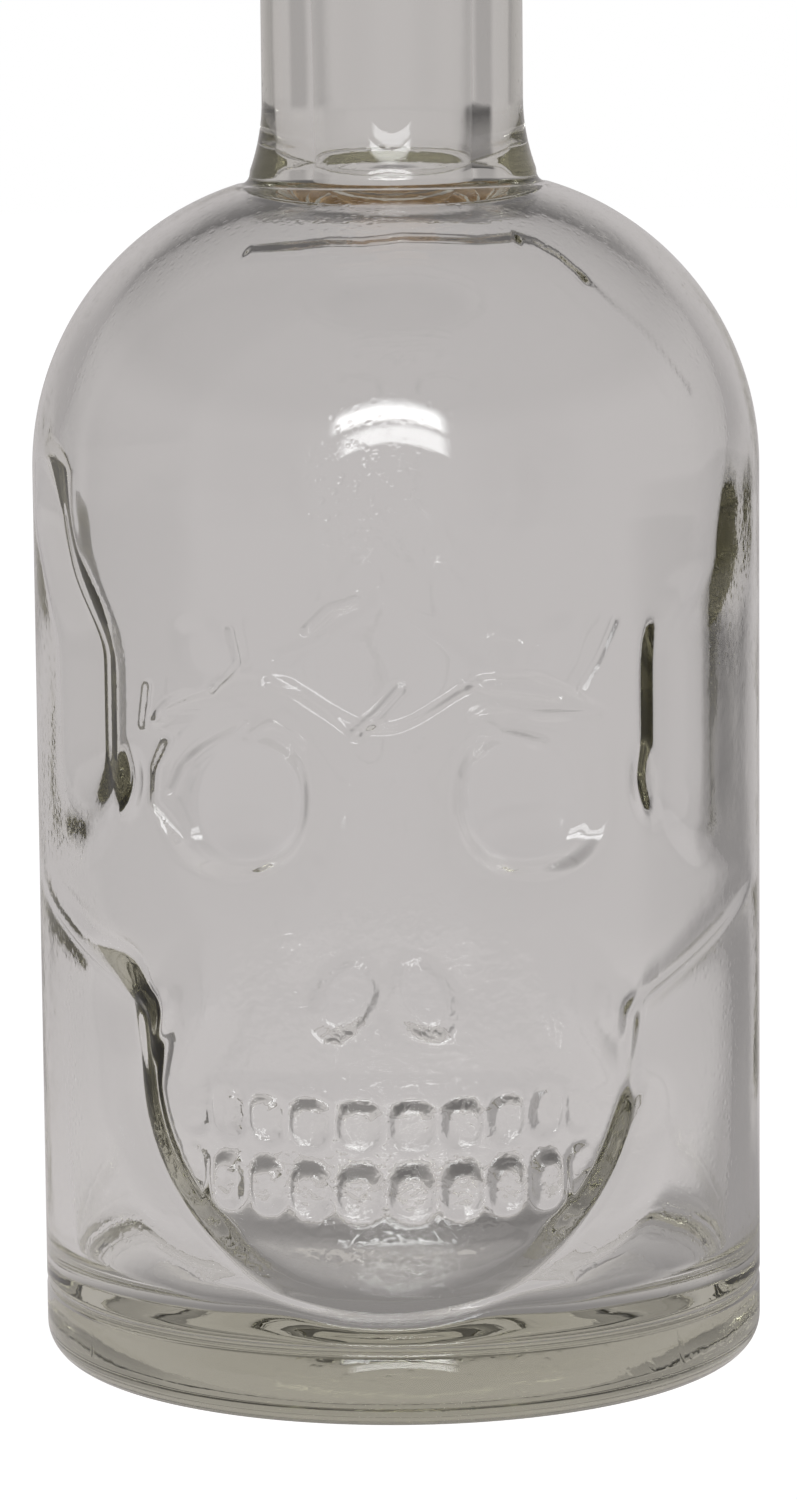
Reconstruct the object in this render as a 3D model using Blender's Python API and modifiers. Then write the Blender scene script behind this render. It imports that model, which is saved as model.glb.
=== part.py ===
"""Skull decanter: a round glass bottle with a skull moulded into its front, and a bar top stopper.

Metres, +Z up. The base stands on Z = 0, the bottle's axis is the Z axis and the skull looks along -Y.
"""

import math

import bmesh
import bpy
import numpy as np

OBJECT_NAME = "skull_decanter"

# Outer form of the bottle
BODY_RADIUS = 0.042
SHOULDER_START = 0.104
SHOULDER_RADIUS = 0.034
NECK_RADIUS = 0.015
NECK_FLARE = 0.00145
NECK_FLARE_HEIGHT = 0.008
NECK_ROOT_FILLET = 0.0016
BOTTLE_HEIGHT = 0.176
MOUTH_BAND_PROUD = 0.0008
MOUTH_BAND_HEIGHT = 0.012
MOUTH_BAND_EDGE = 0.0010
MOUTH_BAND_RAMP = 0.0012
HEEL_RADIUS = 0.004
BEARING_INNER_RADIUS = 0.030
PUSH_UP_HEIGHT = 0.002
PARTING_HEIGHT = 0.009
PARTING_DEPTH = 0.0003
PARTING_HALF_WIDTH = 0.0007

# Cavity
BODY_WALL = 0.0032
SHOULDER_WALL = 0.0034
MINIMUM_WALL = 0.0016
FLOOR_THICKNESS = 0.010
FLOOR_CORNER_RADIUS = 0.005
FLOOR_CROWN = 0.0006
BORE_RADIUS = 0.0094
BORE_DRAFT = 0.0006
BORE_ROOT_FILLET = 0.004
MOUTH_CHAMFER = 0.0006
CUTTER_MARGIN = 0.004

# Stopper
STOPPER_HEAD_RADIUS = 0.0158
STOPPER_HEAD_HEIGHT = 0.011
STOPPER_HEAD_CHAMFER = 0.0012
STOPPER_RECESS_DEPTH = 0.003
STOPPER_SHANK_LENGTH = 0.018
STOPPER_SHANK_TAPER = 0.0002
STOPPER_SHANK_CHAMFER = 0.0010
SHANK_CLEARANCE = 0.0003
GLUE_GAP = 0.0003
SEAT_GAP = 0.0003

# Skull: places on the wall are (distance round the wall from the face's centre line, height)
CRANIUM_LOW_HALF_WIDTH = 0.0323
CRANIUM_HIGH_HALF_WIDTH = 0.0390
CRANIUM_SPREAD_START = 0.085
CRANIUM_SPREAD_HEIGHT = 0.011
CRANIUM_CROWN_LEAN = 0.25
TEMPLE_DEPTH = 0.0022
TEMPLE_LOW_WALL = 0.0034
TEMPLE_HIGH_WALL = 0.0050
TEMPLE_LOW_END = 0.0350
TEMPLE_HIGH_END = 0.0412
TEMPLE_RUN = 0.017
TEMPLE_TOP_START = 0.099
TEMPLE_TOP_HEIGHT = 0.014
TEMPLE_FLOOR_INNER = 0.0650
TEMPLE_FLOOR_OUTER = 0.0595
TEMPLE_FLOOR_RUN = 0.006
TEMPLE_PIT = (0.0316, 0.0712)
TEMPLE_PIT_HALF_SIZE = (0.0026, 0.0052)
TEMPLE_PIT_LEAN = -0.14
TEMPLE_PIT_DEPTH = 0.0014

CHEEKBONE_INNER = (0.0316, 0.0480)
CHEEKBONE_OUTER = (0.0495, 0.0553)
CHEEKBONE_END = 0.060
CHEEKBONE_EDGE = 0.0030
CHEEKBONE_REACH = (-0.3, 1.4)
CHEEKBONE_UNDERCUT = 0.0015
CHEEKBONE_UNDERCUT_OUTER = 0.0007
CHEEKBONE_UNDERCUT_RUN = 0.007

JAW_CENTRE_HEIGHT = 0.038
JAW_HALF_WIDTH = 0.0294
JAW_DROP = 0.0228
JAW_POWER = 1.8
JAW_GROOVE_DEPTH = 0.0022
JAW_SIDE_WALL = 0.0032
JAW_CHIN_WALL = 0.0040
JAW_SIDE_RUN = 0.014
JAW_CHIN_RUN = 0.0022
JAW_RUN_SPREAD = 1.45
JAW_FACE_DEPTH = 0.0005
JAW_FLANK_DEPTH = 0.0011
JAW_FACE_FADE = 0.016
JAW_PIT = (0.0290, 0.0454)
JAW_PIT_HALF_SIZE = (0.0030, 0.0042)
JAW_PIT_LEAN = -0.35
JAW_PIT_DEPTH = 0.0014

EYELID_CENTRE = (0.0178, 0.0713)
EYELID_HALF_SIZE = (0.0103, 0.0095)
EYELID_DEPTH = 0.0012
EYELID_WALL_SHARE = 0.16
EYELID_POWER = 2.6
EYE_CENTRE = (0.0169, 0.0700)
EYE_HALF_SIZE = (0.0093, 0.0089)
EYE_LEAN = -0.10
EYE_DEPTH = 0.0026
EYE_WALL_SHARE = 0.55
EYE_POWER = 2.1

BROW_FOOT = 0.0782
BROW_RISE = 0.0056
BROW_RISE_RUN = 0.0135
BROW_FALL = 0.0052
BROW_FALL_START = 0.015
BROW_FALL_RUN = 0.0155
BROW_EDGE = 0.0011
BROW_END = 0.031
BROW_END_FADE = 0.008
FOREHEAD_DEPTH = 0.00055
FOREHEAD_FADE = 0.010
FROWN_TOP = 0.0945
FROWN_SLOPE = 0.68
FROWN_EDGE = 0.0020
FROWN_HALF_WIDTH = 0.0125
FROWN_DEPTH = 0.00075
BROW_DENT = (0.0210, 0.0866)
BROW_DENT_HALF_SIZE = (0.0043, 0.0046)
BROW_DENT_LEAN = 0.15
BROW_DENT_WALL_SHARE = 0.5
BROW_DENT_POWER = 2.4
BROW_DENT_DEPTH = 0.00065

NASION_HEIGHT = 0.0740
NASION_HALF_SIZE = (0.0080, 0.0056)
NASION_DEPTH = 0.0011
NOSE_SIDE_CENTRE = (0.0086, 0.0575)
NOSE_SIDE_HALF_SIZE = (0.0046, 0.0085)
NOSE_SIDE_DEPTH = 0.0009
NOSTRIL_CENTRE = (0.0045, 0.0488)
NOSTRIL_HALF_SIZE = (0.0041, 0.0050)
NOSTRIL_LEAN = -0.28
NOSTRIL_WALL_SHARE = 0.45
NOSTRIL_POWER = 2.2
NOSTRIL_DEPTH = 0.0024

CHEEK_CENTRE = (0.0228, 0.0465)
CHEEK_HALF_SIZE = (0.0066, 0.0095)
CHEEK_LEAN = -0.30
CHEEK_DEPTH = 0.0019

BITE_HEIGHT = 0.0307
BITE_RISE = 0.0016
BITE_HALF_WIDTH = 0.0255
BITE_GAP = 0.0013
GUM_DEPTH = 0.0012
GUM_REACH = 1.35
GUM_WALL_SHARE = 0.35
GUM_POWER = 4.0
UPPER_TOOTH_HEIGHT = 0.0060
LOWER_TOOTH_HEIGHT = 0.0068
TOOTH_PROUD = 0.0011
TOOTH_WALL_SHARE = 0.45
TOOTH_POWER = 2.6
TOOTH_FILL = 0.93
FIRST_TOOTH_PITCH = 0.0061
TOOTH_PITCH_STEP = 0.00055
TEETH_A_SIDE = 5

# How the glass rounds off the mould's edges, outside and in the cavity
GLASS_SOFTNESS = 0.0008
CAVITY_SOFTNESS = 0.0080
CAVITY_FOLLOWS = 0.75
RELIEF_FADE = 0.0020

# Mesh density
RELIEF_FINE_TOP = 0.050
RELIEF_TOP = 0.098
FINE_ROW = 0.0020
MIDDLE_ROW = 0.0026
SHOULDER_ROW = 0.0048
FRONT_ANGLE = math.radians(50.0)
SIDE_ANGLE = math.radians(90.0)
FRONT_COLUMN = math.radians(2.4)
SIDE_COLUMN = math.radians(5.8)
BACK_COLUMN = math.radians(13.0)
CAVITY_COLUMN = math.radians(7.0)
CAVITY_ROW = 0.0042
TURNED_STEPS = 40
WELD_DISTANCE = 0.00001
LEAST_REACH = 0.05


def smooth(value):
    """An even S shaped step from 0 to 1 as value goes from 0 to 1."""
    held = np.clip(value, 0.0, 1.0)
    return held * held * (3.0 - 2.0 * held)


def hollow(across, up, centre, half_size, wall_share, soft, power=2.0, lean=0.0):
    """A rounded hollow, 1 on its floor and 0 outside its rim; lean shifts it sideways as it rises."""
    side = (across - centre[0] - lean * (up - centre[1])) / (half_size[0] + soft / 2)
    rise = (up - centre[1]) / (half_size[1] + soft / 2)
    reach = (np.abs(side) ** power + np.abs(rise) ** power) ** (1.0 / power)
    least = min(half_size)
    wall = min(1.0, (wall_share * least + soft) / (least + soft / 2))
    keep = least / (least + soft / 2)
    return keep * smooth((1.0 - reach) / wall)


def groove(distance, depth, wall, run, soft):
    """A groove outside an outline: steep on the skull's side, then an easy slope back to the wall."""
    fall = smooth((distance + soft / 2) / (wall + soft))
    climb = 1.0 - smooth((distance - wall) / (run + soft / 2))
    return depth * fall * climb


def cranium_spread(up):
    """How far the cranium has widened above the temples, from 0 to 1."""
    return smooth((up - CRANIUM_SPREAD_START) / CRANIUM_SPREAD_HEIGHT)


def cranium_half_width(up):
    """Half width of the skull above the cheekbones."""
    crown = CRANIUM_CROWN_LEAN * np.maximum(up - CRANIUM_SPREAD_START - CRANIUM_SPREAD_HEIGHT, 0.0)
    spread = (CRANIUM_HIGH_HALF_WIDTH - CRANIUM_LOW_HALF_WIDTH) * cranium_spread(up)
    return CRANIUM_LOW_HALF_WIDTH + spread + crown


def temple_depth(across, up, soft):
    """The hollow beside the cranium, from above the cheekbone to the shoulder."""
    wall = TEMPLE_LOW_WALL + (TEMPLE_HIGH_WALL - TEMPLE_LOW_WALL) * cranium_spread(up)
    end = TEMPLE_LOW_END + (TEMPLE_HIGH_END - TEMPLE_LOW_END) * cranium_spread(up)
    fall = smooth((across - cranium_half_width(up) + soft / 2) / (wall + soft))
    climb = 1.0 - smooth((across - end + soft / 2) / (TEMPLE_RUN + soft))
    top = 1.0 - smooth((up - TEMPLE_TOP_START + soft / 2) / (TEMPLE_TOP_HEIGHT + soft))
    slant = smooth((across - CRANIUM_LOW_HALF_WIDTH) / (TEMPLE_HIGH_END - CRANIUM_LOW_HALF_WIDTH))
    floor = TEMPLE_FLOOR_INNER + (TEMPLE_FLOOR_OUTER - TEMPLE_FLOOR_INNER) * slant
    bottom = smooth((up - floor + soft / 2) / (TEMPLE_FLOOR_RUN + soft))
    pit = hollow(across, up, TEMPLE_PIT, TEMPLE_PIT_HALF_SIZE, 1.0, soft, 2.0, TEMPLE_PIT_LEAN)
    return TEMPLE_DEPTH * fall * climb * top * bottom + TEMPLE_PIT_DEPTH * pit


def cheekbone_lower_edge(across):
    """Height of the lower edge of the cheekbone."""
    run = (across - CHEEKBONE_INNER[0]) / (CHEEKBONE_OUTER[0] - CHEEKBONE_INNER[0])
    return CHEEKBONE_INNER[1] + (CHEEKBONE_OUTER[1] - CHEEKBONE_INNER[1]) * np.clip(run, *CHEEKBONE_REACH)


def cheekbone_depth(across, up, soft):
    """The undercut below the cheekbone, deep beside the jaw and shallow round the side."""
    below = cheekbone_lower_edge(across) - up
    share = smooth((across - CHEEKBONE_INNER[0]) / (CHEEKBONE_OUTER[0] - CHEEKBONE_INNER[0]))
    depth = CHEEKBONE_UNDERCUT + (CHEEKBONE_UNDERCUT_OUTER - CHEEKBONE_UNDERCUT) * share
    inner = smooth((across - CHEEKBONE_INNER[0] + CHEEKBONE_EDGE + soft / 2) / (CHEEKBONE_EDGE + soft))
    outer = 1.0 - smooth((across - CHEEKBONE_OUTER[0]) / (CHEEKBONE_END - CHEEKBONE_OUTER[0]))
    return groove(below, depth, CHEEKBONE_EDGE, CHEEKBONE_UNDERCUT_RUN, soft) * inner * outer


def beyond_jaw(across, up):
    """Distance outside the jaw's outline, negative inside it, and the share of it that points down."""
    drop = np.maximum(JAW_CENTRE_HEIGHT - up, 0.0)
    reach = ((across / JAW_HALF_WIDTH) ** JAW_POWER + (drop / JAW_DROP) ** JAW_POWER) ** (1.0 / JAW_POWER)
    span = np.hypot(across, drop)
    return span * (1.0 - 1.0 / np.maximum(reach, LEAST_REACH)), drop / np.maximum(span, WELD_DISTANCE)


def jaw_groove_depth(across, up, soft):
    """The groove round the jaw, from under the cheekbone to below the chin."""
    distance, share = beyond_jaw(across, up)
    wall = JAW_SIDE_WALL + (JAW_CHIN_WALL - JAW_SIDE_WALL) * share**3
    run = JAW_CHIN_RUN + (JAW_SIDE_RUN - JAW_CHIN_RUN) * smooth(JAW_RUN_SPREAD * (1.0 - share))
    below_cheekbone = smooth((cheekbone_lower_edge(across) - up) / CHEEKBONE_EDGE)
    depth = groove(distance, JAW_GROOVE_DEPTH, wall, run, soft)
    pit = hollow(across, up, JAW_PIT, JAW_PIT_HALF_SIZE, 1.0, soft, 2.0, JAW_PIT_LEAN)
    return depth * below_cheekbone + JAW_PIT_DEPTH * pit


def tooth_rows(across, up, soft):
    """How far each tooth stands out of the gums, from 0 to 1."""
    bite = BITE_HEIGHT + BITE_RISE * (across / BITE_HALF_WIDTH) ** 2
    proud = np.zeros_like(across)
    edge = 0.0
    for index in range(TEETH_A_SIDE):
        pitch = FIRST_TOOTH_PITCH - TOOTH_PITCH_STEP * index
        centre = (edge + pitch / 2, 0.0)
        edge = edge + pitch
        for height, side in ((UPPER_TOOTH_HEIGHT, 1.0), (LOWER_TOOTH_HEIGHT, -1.0)):
            middle = bite + side * (BITE_GAP + height) / 2
            half_size = (pitch * TOOTH_FILL / 2, height / 2)
            tooth = hollow(across, up - middle, centre, half_size, TOOTH_WALL_SHARE, soft, TOOTH_POWER)
            proud = np.maximum(proud, tooth)
    return proud


def jaw_face_depth(across, up, soft):
    """The front of the jaws: gums, teeth and the flanks that fall back to the groove."""
    distance, _ = beyond_jaw(across, up)
    inside = smooth((soft - distance) / (JAW_SIDE_WALL + soft))
    below_cheek = 1.0 - smooth((up - JAW_CENTRE_HEIGHT) / JAW_FACE_FADE)
    flank = JAW_FLANK_DEPTH * (across / JAW_HALF_WIDTH) ** 2
    gum_half_size = (BITE_HALF_WIDTH, GUM_REACH * (UPPER_TOOTH_HEIGHT + BITE_GAP))
    gums = hollow(across, up, (0.0, BITE_HEIGHT), gum_half_size, GUM_WALL_SHARE, soft, GUM_POWER)
    teeth = TOOTH_PROUD * tooth_rows(across, up, soft)
    return inside * below_cheek * (JAW_FACE_DEPTH + flank) + np.maximum(GUM_DEPTH * gums - teeth, 0.0)


def brow_height(across):
    """Height of the upper edge of the brow."""
    rise = BROW_RISE * smooth(across / BROW_RISE_RUN)
    return BROW_FOOT + rise - BROW_FALL * smooth((across - BROW_FALL_START) / BROW_FALL_RUN)


def forehead_depth(across, up, soft):
    """The forehead above the brows, the frown between them and the dents at their ends."""
    above = up - brow_height(across)
    lip = smooth((above + soft / 2) / (BROW_EDGE + soft))
    end = 1.0 - smooth((across - BROW_END + BROW_END_FADE) / BROW_END_FADE)
    hollowed = FOREHEAD_DEPTH * lip * (1.0 - smooth(above / FOREHEAD_FADE)) * end
    under = smooth((FROWN_TOP - FROWN_SLOPE * across - up + soft / 2) / (FROWN_EDGE + soft))
    frown = FROWN_DEPTH * lip * under * (1.0 - smooth((across - FROWN_HALF_WIDTH) / FROWN_EDGE))
    half_size, wall_share = BROW_DENT_HALF_SIZE, BROW_DENT_WALL_SHARE
    dent = hollow(across, up, BROW_DENT, half_size, wall_share, soft, BROW_DENT_POWER, BROW_DENT_LEAN)
    return hollowed + frown + BROW_DENT_DEPTH * dent


def eye_depth(across, up, soft):
    """An eye socket: the hollow under the brow with a deeper bowl in it."""
    lid = hollow(across, up, EYELID_CENTRE, EYELID_HALF_SIZE, EYELID_WALL_SHARE, soft, EYELID_POWER)
    bowl = hollow(across, up, EYE_CENTRE, EYE_HALF_SIZE, EYE_WALL_SHARE, soft, EYE_POWER, EYE_LEAN)
    return EYELID_DEPTH * lid + EYE_DEPTH * bowl


def nose_depth(across, up, soft):
    """The root of the nose, the slopes beside its bridge and the two lobes of its opening."""
    root = hollow(across, up, (0.0, NASION_HEIGHT), NASION_HALF_SIZE, 1.0, soft)
    side = hollow(across, up, NOSE_SIDE_CENTRE, NOSE_SIDE_HALF_SIZE, 1.0, soft)
    lobe = hollow(
        across, up, NOSTRIL_CENTRE, NOSTRIL_HALF_SIZE, NOSTRIL_WALL_SHARE, soft, NOSTRIL_POWER, NOSTRIL_LEAN
    )
    return NASION_DEPTH * root + NOSE_SIDE_DEPTH * side + NOSTRIL_DEPTH * lobe


def skull_depth(around, up, soft=GLASS_SOFTNESS):
    """How deep the skull's surface lies below the plain wall; soft rounds it off for the cavity."""
    across = np.abs(around)
    cheek = CHEEK_DEPTH * hollow(across, up, CHEEK_CENTRE, CHEEK_HALF_SIZE, 1.0, soft, 2.0, CHEEK_LEAN)
    face = cheek + jaw_face_depth(across, up, soft)
    for feature in (forehead_depth, eye_depth, nose_depth):
        face = face + feature(across, up, soft)
    edge = np.maximum(temple_depth(across, up, soft), jaw_groove_depth(across, up, soft))
    edge = np.maximum(edge, cheekbone_depth(across, up, soft))
    foot = smooth((up - PARTING_HEIGHT) / RELIEF_FADE)
    return np.maximum(face, edge) * foot


def cavity_depth(around, up):
    """How deep the inner surface follows the skull, never nearer to it than the least wall."""
    followed = CAVITY_FOLLOWS * skull_depth(around, up, CAVITY_SOFTNESS)
    least = skull_depth(around, up) - (BODY_WALL - MINIMUM_WALL)
    return np.maximum(followed, least)


def arc(centre, radius, start, end, steps):
    """Points on an arc of a profile, angles measured from outwards towards up."""
    angles = np.linspace(start, end, steps + 1)
    return [(centre[0] + radius * math.cos(a), centre[1] + radius * math.sin(a)) for a in angles]


def bend(start, corner, end, steps):
    """Points on a smooth bend of a profile, from start to end, drawn towards corner."""
    points = []
    for t in np.linspace(0.0, 1.0, steps + 1):
        weights = ((1 - t) ** 2, 2 * t * (1 - t), t**2)
        points.append(
            tuple(weights[0] * start[i] + weights[1] * corner[i] + weights[2] * end[i] for i in range(2))
        )
    return points


def straight(start, end, row):
    """Points on a straight run of a profile, no further apart than row."""
    length = math.dist(start, end)
    steps = max(1, math.ceil(length / row - 0.001))
    return [tuple(start[i] + (end[i] - start[i]) * k / steps for i in range(2)) for k in range(steps + 1)]


def joined(*runs):
    """One profile from its runs, without the points that two runs share."""
    points = []
    for run in runs:
        for point in run:
            if not points or math.dist(points[-1], point) > WELD_DISTANCE:
                points.append(point)
    return points


def shoulder_height(radius, inset=0.0):
    """Height of the shoulder's arc at a radius, on the outer surface or inset below it."""
    centre = BODY_RADIUS - SHOULDER_RADIUS
    arc_radius = SHOULDER_RADIUS - inset
    return SHOULDER_START + math.sqrt(arc_radius**2 - (radius - centre) ** 2)


def outer_profile():
    """The bottle's outer profile, from the middle of the underside to the middle of the mouth."""
    push_up_bend = (BEARING_INNER_RADIUS / 2, PUSH_UP_HEIGHT)
    push_up = bend((0.0, PUSH_UP_HEIGHT), push_up_bend, (BEARING_INNER_RADIUS, 0.0), 3)
    heel = arc((BODY_RADIUS - HEEL_RADIUS, HEEL_RADIUS), HEEL_RADIUS, -math.pi / 2, 0.0, 3)
    parting = [
        (BODY_RADIUS, PARTING_HEIGHT - PARTING_HALF_WIDTH),
        (BODY_RADIUS - PARTING_DEPTH, PARTING_HEIGHT),
        (BODY_RADIUS, PARTING_HEIGHT + PARTING_HALF_WIDTH),
    ]
    wall = joined(
        straight(parting[-1], (BODY_RADIUS, RELIEF_FINE_TOP), FINE_ROW),
        straight((BODY_RADIUS, RELIEF_FINE_TOP), (BODY_RADIUS, RELIEF_TOP), MIDDLE_ROW),
        straight((BODY_RADIUS, RELIEF_TOP), (BODY_RADIUS, SHOULDER_START), SHOULDER_ROW),
    )
    flare_radius = NECK_RADIUS + NECK_FLARE
    root_radius = flare_radius + NECK_ROOT_FILLET
    root_height = shoulder_height(root_radius)
    centre = (BODY_RADIUS - SHOULDER_RADIUS, SHOULDER_START)
    end_angle = math.acos((root_radius - centre[0]) / SHOULDER_RADIUS)
    shoulder_steps = math.ceil(SHOULDER_RADIUS * end_angle / SHOULDER_ROW)
    shoulder = arc(centre, SHOULDER_RADIUS, 0.0, end_angle, shoulder_steps)
    flare_foot = root_height + NECK_ROOT_FILLET
    fillet = bend((root_radius, root_height), (flare_radius, root_height), (flare_radius, flare_foot), 2)
    flare = [
        (NECK_RADIUS + NECK_FLARE * (1 - t) ** 2, flare_foot + NECK_FLARE_HEIGHT * t)
        for t in np.linspace(0.0, 1.0, 4)
    ]
    band_foot = BOTTLE_HEIGHT - MOUTH_BAND_HEIGHT
    band_radius = NECK_RADIUS + MOUTH_BAND_PROUD
    ramp_middle = (NECK_RADIUS + MOUTH_BAND_PROUD / 2, band_foot + MOUTH_BAND_RAMP / 2)
    band_start = (band_radius, band_foot + MOUTH_BAND_RAMP)
    band = [(NECK_RADIUS, band_foot), ramp_middle, band_start]
    edge_centre = (band_radius - MOUTH_BAND_EDGE, BOTTLE_HEIGHT - MOUTH_BAND_EDGE)
    edge = arc(edge_centre, MOUTH_BAND_EDGE, 0.0, math.pi / 2, 2)
    return joined(push_up, heel, parting, wall, shoulder, fillet, flare, band, edge, [(0.0, BOTTLE_HEIGHT)])


def bore_radius_at(height):
    """Radius of the neck's bore, widest at the mouth."""
    return BORE_RADIUS - BORE_DRAFT * (BOTTLE_HEIGHT - height) / (BOTTLE_HEIGHT - SHOULDER_START)


def cavity_profile():
    """The cavity's profile, from the middle of the floor to above the mouth."""
    wall_radius = BODY_RADIUS - BODY_WALL
    corner = (wall_radius - FLOOR_CORNER_RADIUS, FLOOR_THICKNESS + FLOOR_CORNER_RADIUS)
    crown = FLOOR_THICKNESS + FLOOR_CROWN
    floor = bend((0.0, crown), (corner[0] / 2, crown), (corner[0], FLOOR_THICKNESS), 3)
    floor_corner = arc(corner, FLOOR_CORNER_RADIUS, -math.pi / 2, 0.0, 4)
    wall = straight((wall_radius, corner[1]), (wall_radius, SHOULDER_START), CAVITY_ROW)
    inset = SHOULDER_WALL
    centre = BODY_RADIUS - SHOULDER_RADIUS
    root_radius = bore_radius_at(SHOULDER_START) + BORE_ROOT_FILLET
    root_height = shoulder_height(root_radius, inset)
    reach = SHOULDER_RADIUS - inset
    start_radius = centre + reach
    end_angle = math.acos((root_radius - centre) / reach)
    steps = math.ceil(reach * end_angle / CAVITY_ROW)
    shoulder = arc((centre, SHOULDER_START), reach, 0.0, end_angle, steps)
    shoulder[0] = (start_radius, SHOULDER_START)
    foot_height = root_height + BORE_ROOT_FILLET
    bore_foot = (bore_radius_at(foot_height), foot_height)
    fillet = bend((root_radius, root_height), (bore_foot[0], root_height), bore_foot, 4)
    chamfer_foot = BOTTLE_HEIGHT - MOUTH_CHAMFER
    bore = straight(bore_foot, (bore_radius_at(chamfer_foot), chamfer_foot), BOTTLE_HEIGHT)
    over = BOTTLE_HEIGHT + CUTTER_MARGIN
    mouth_radius = BORE_RADIUS + MOUTH_CHAMFER + CUTTER_MARGIN
    mouth = [(mouth_radius, over), (0.0, over)]
    return joined(floor, floor_corner, wall, shoulder[1:], fillet, bore, mouth)


def columns(front_column, side_column, back_column):
    """Angles of the mesh's columns right round the bottle, close together on the face."""
    front = np.arange(0.0, FRONT_ANGLE, front_column)
    side = np.linspace(FRONT_ANGLE, SIDE_ANGLE, math.ceil((SIDE_ANGLE - FRONT_ANGLE) / side_column) + 1)
    back = np.linspace(SIDE_ANGLE, math.pi, math.ceil((math.pi - SIDE_ANGLE) / back_column) + 1)
    half = np.concatenate([front, side, back[1:]])
    return np.concatenate([-half[:0:-1], half])


def wrapped(name, profile, angles, depth):
    """A closed form: a grid wrapped round the axis to the profile, pressed in by depth."""
    rows = np.array(profile)
    along = np.gradient(rows, axis=0)
    lengths = np.maximum(np.hypot(along[:, 0], along[:, 1]), WELD_DISTANCE)
    outward = np.stack([along[:, 1], -along[:, 0]], axis=1) / lengths[:, None]
    around, up = np.meshgrid(BODY_RADIUS * angles, rows[:, 1])
    facing = np.clip(outward[:, 0], 0.0, 1.0)
    pressed = depth(around, up) * facing[:, None]
    radii = rows[:, 0][:, None] - outward[:, 0][:, None] * pressed
    heights = rows[:, 1][:, None] - outward[:, 1][:, None] * pressed
    form = bmesh.new()
    row_count = len(rows) - 1
    column_count = len(angles) - 1
    bmesh.ops.create_grid(form, x_segments=column_count, y_segments=row_count, size=1.0)
    for vertex in form.verts:
        column = round((vertex.co.x + 1.0) / 2.0 * column_count)
        row = round((vertex.co.y + 1.0) / 2.0 * row_count)
        radius = radii[row, column]
        angle = angles[column]
        vertex.co = (radius * math.sin(angle), -radius * math.cos(angle), heights[row, column])
    bmesh.ops.remove_doubles(form, verts=form.verts, dist=WELD_DISTANCE)
    bmesh.ops.recalc_face_normals(form, faces=form.faces)
    mesh = bpy.data.meshes.new(name)
    form.to_mesh(mesh)
    form.free()
    return bpy.data.objects.new(name, mesh)


def turned(name, profile):
    """A turned form: a profile from the axis at the top, down its outer side, back to the axis."""
    form = bmesh.new()
    points = [form.verts.new((radius, 0.0, height)) for radius, height in profile]
    for first, second in zip(points, points[1:]):
        form.edges.new((first, second))
    mesh = bpy.data.meshes.new(name)
    form.to_mesh(mesh)
    form.free()
    piece = bpy.data.objects.new(name, mesh)
    screw = piece.modifiers.new("turn", "SCREW")
    screw.axis = "Z"
    screw.angle = 2 * math.pi
    screw.steps = TURNED_STEPS
    screw.render_steps = TURNED_STEPS
    screw.use_merge_vertices = True
    screw.merge_threshold = WELD_DISTANCE
    screw.use_smooth_shade = True
    return piece


def material(name, colour, roughness, metallic=0.0, transmission=0.0, refraction=1.45):
    """A material with one Principled surface."""
    made = bpy.data.materials.new(name)
    made.use_nodes = True
    surface = made.node_tree.nodes["Principled BSDF"]
    surface.inputs["Base Color"].default_value = (*colour, 1.0)
    surface.inputs["Roughness"].default_value = roughness
    surface.inputs["Metallic"].default_value = metallic
    surface.inputs["Transmission Weight"].default_value = transmission
    surface.inputs["IOR"].default_value = refraction
    made.diffuse_color = (*colour, 1.0)
    return made


def clear_glass():
    """Clear flint glass with a faint olive tint."""
    return material("clear_glass", (0.93, 0.94, 0.90), 0.02, transmission=1.0, refraction=1.5)


def turned_wood():
    """Pale turned beech."""
    return material("turned_wood", (0.52, 0.33, 0.17), 0.55)


def natural_cork():
    """Fine grained cork."""
    return material("natural_cork", (0.55, 0.37, 0.21), 0.8)


def place(piece, collection, parent, finish):
    """Puts a piece in its collection, on its parent and in its material."""
    collection.objects.link(piece)
    piece.parent = parent
    piece.data.materials.append(finish)
    piece.data.shade_smooth()
    piece.data.set_sharp_from_angle(angle=math.radians(40.0))


def make_bottle(collection, cutters, parent):
    """The glass bottle: its outer form with the skull pressed in, less its cavity."""
    angles = columns(FRONT_COLUMN, SIDE_COLUMN, BACK_COLUMN)
    bottle = wrapped("bottle", outer_profile(), angles, skull_depth)
    cavity_angles = columns(CAVITY_COLUMN, CAVITY_COLUMN, BACK_COLUMN)
    cavity = wrapped("cavity", cavity_profile(), cavity_angles, cavity_depth)
    cutters.objects.link(cavity)
    cavity.hide_render = True
    cavity.display_type = "WIRE"
    place(bottle, collection, parent, clear_glass())
    cut = bottle.modifiers.new("cavity", "BOOLEAN")
    cut.operation = "DIFFERENCE"
    cut.object = cavity
    cut.solver = "EXACT"
    return bottle


def shank_profile():
    """The cork shank, with its seat at height 0, its top up in the head and its foot in the bore."""
    top = STOPPER_RECESS_DEPTH - GLUE_GAP
    foot = -STOPPER_SHANK_LENGTH
    widest = bore_radius_at(BOTTLE_HEIGHT - STOPPER_SHANK_LENGTH) - SHANK_CLEARANCE
    narrowest = widest - STOPPER_SHANK_TAPER
    return [
        (0.0, top),
        (widest, top),
        (narrowest, foot + STOPPER_SHANK_CHAMFER),
        (narrowest - STOPPER_SHANK_CHAMFER, foot),
        (0.0, foot),
    ]


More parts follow.
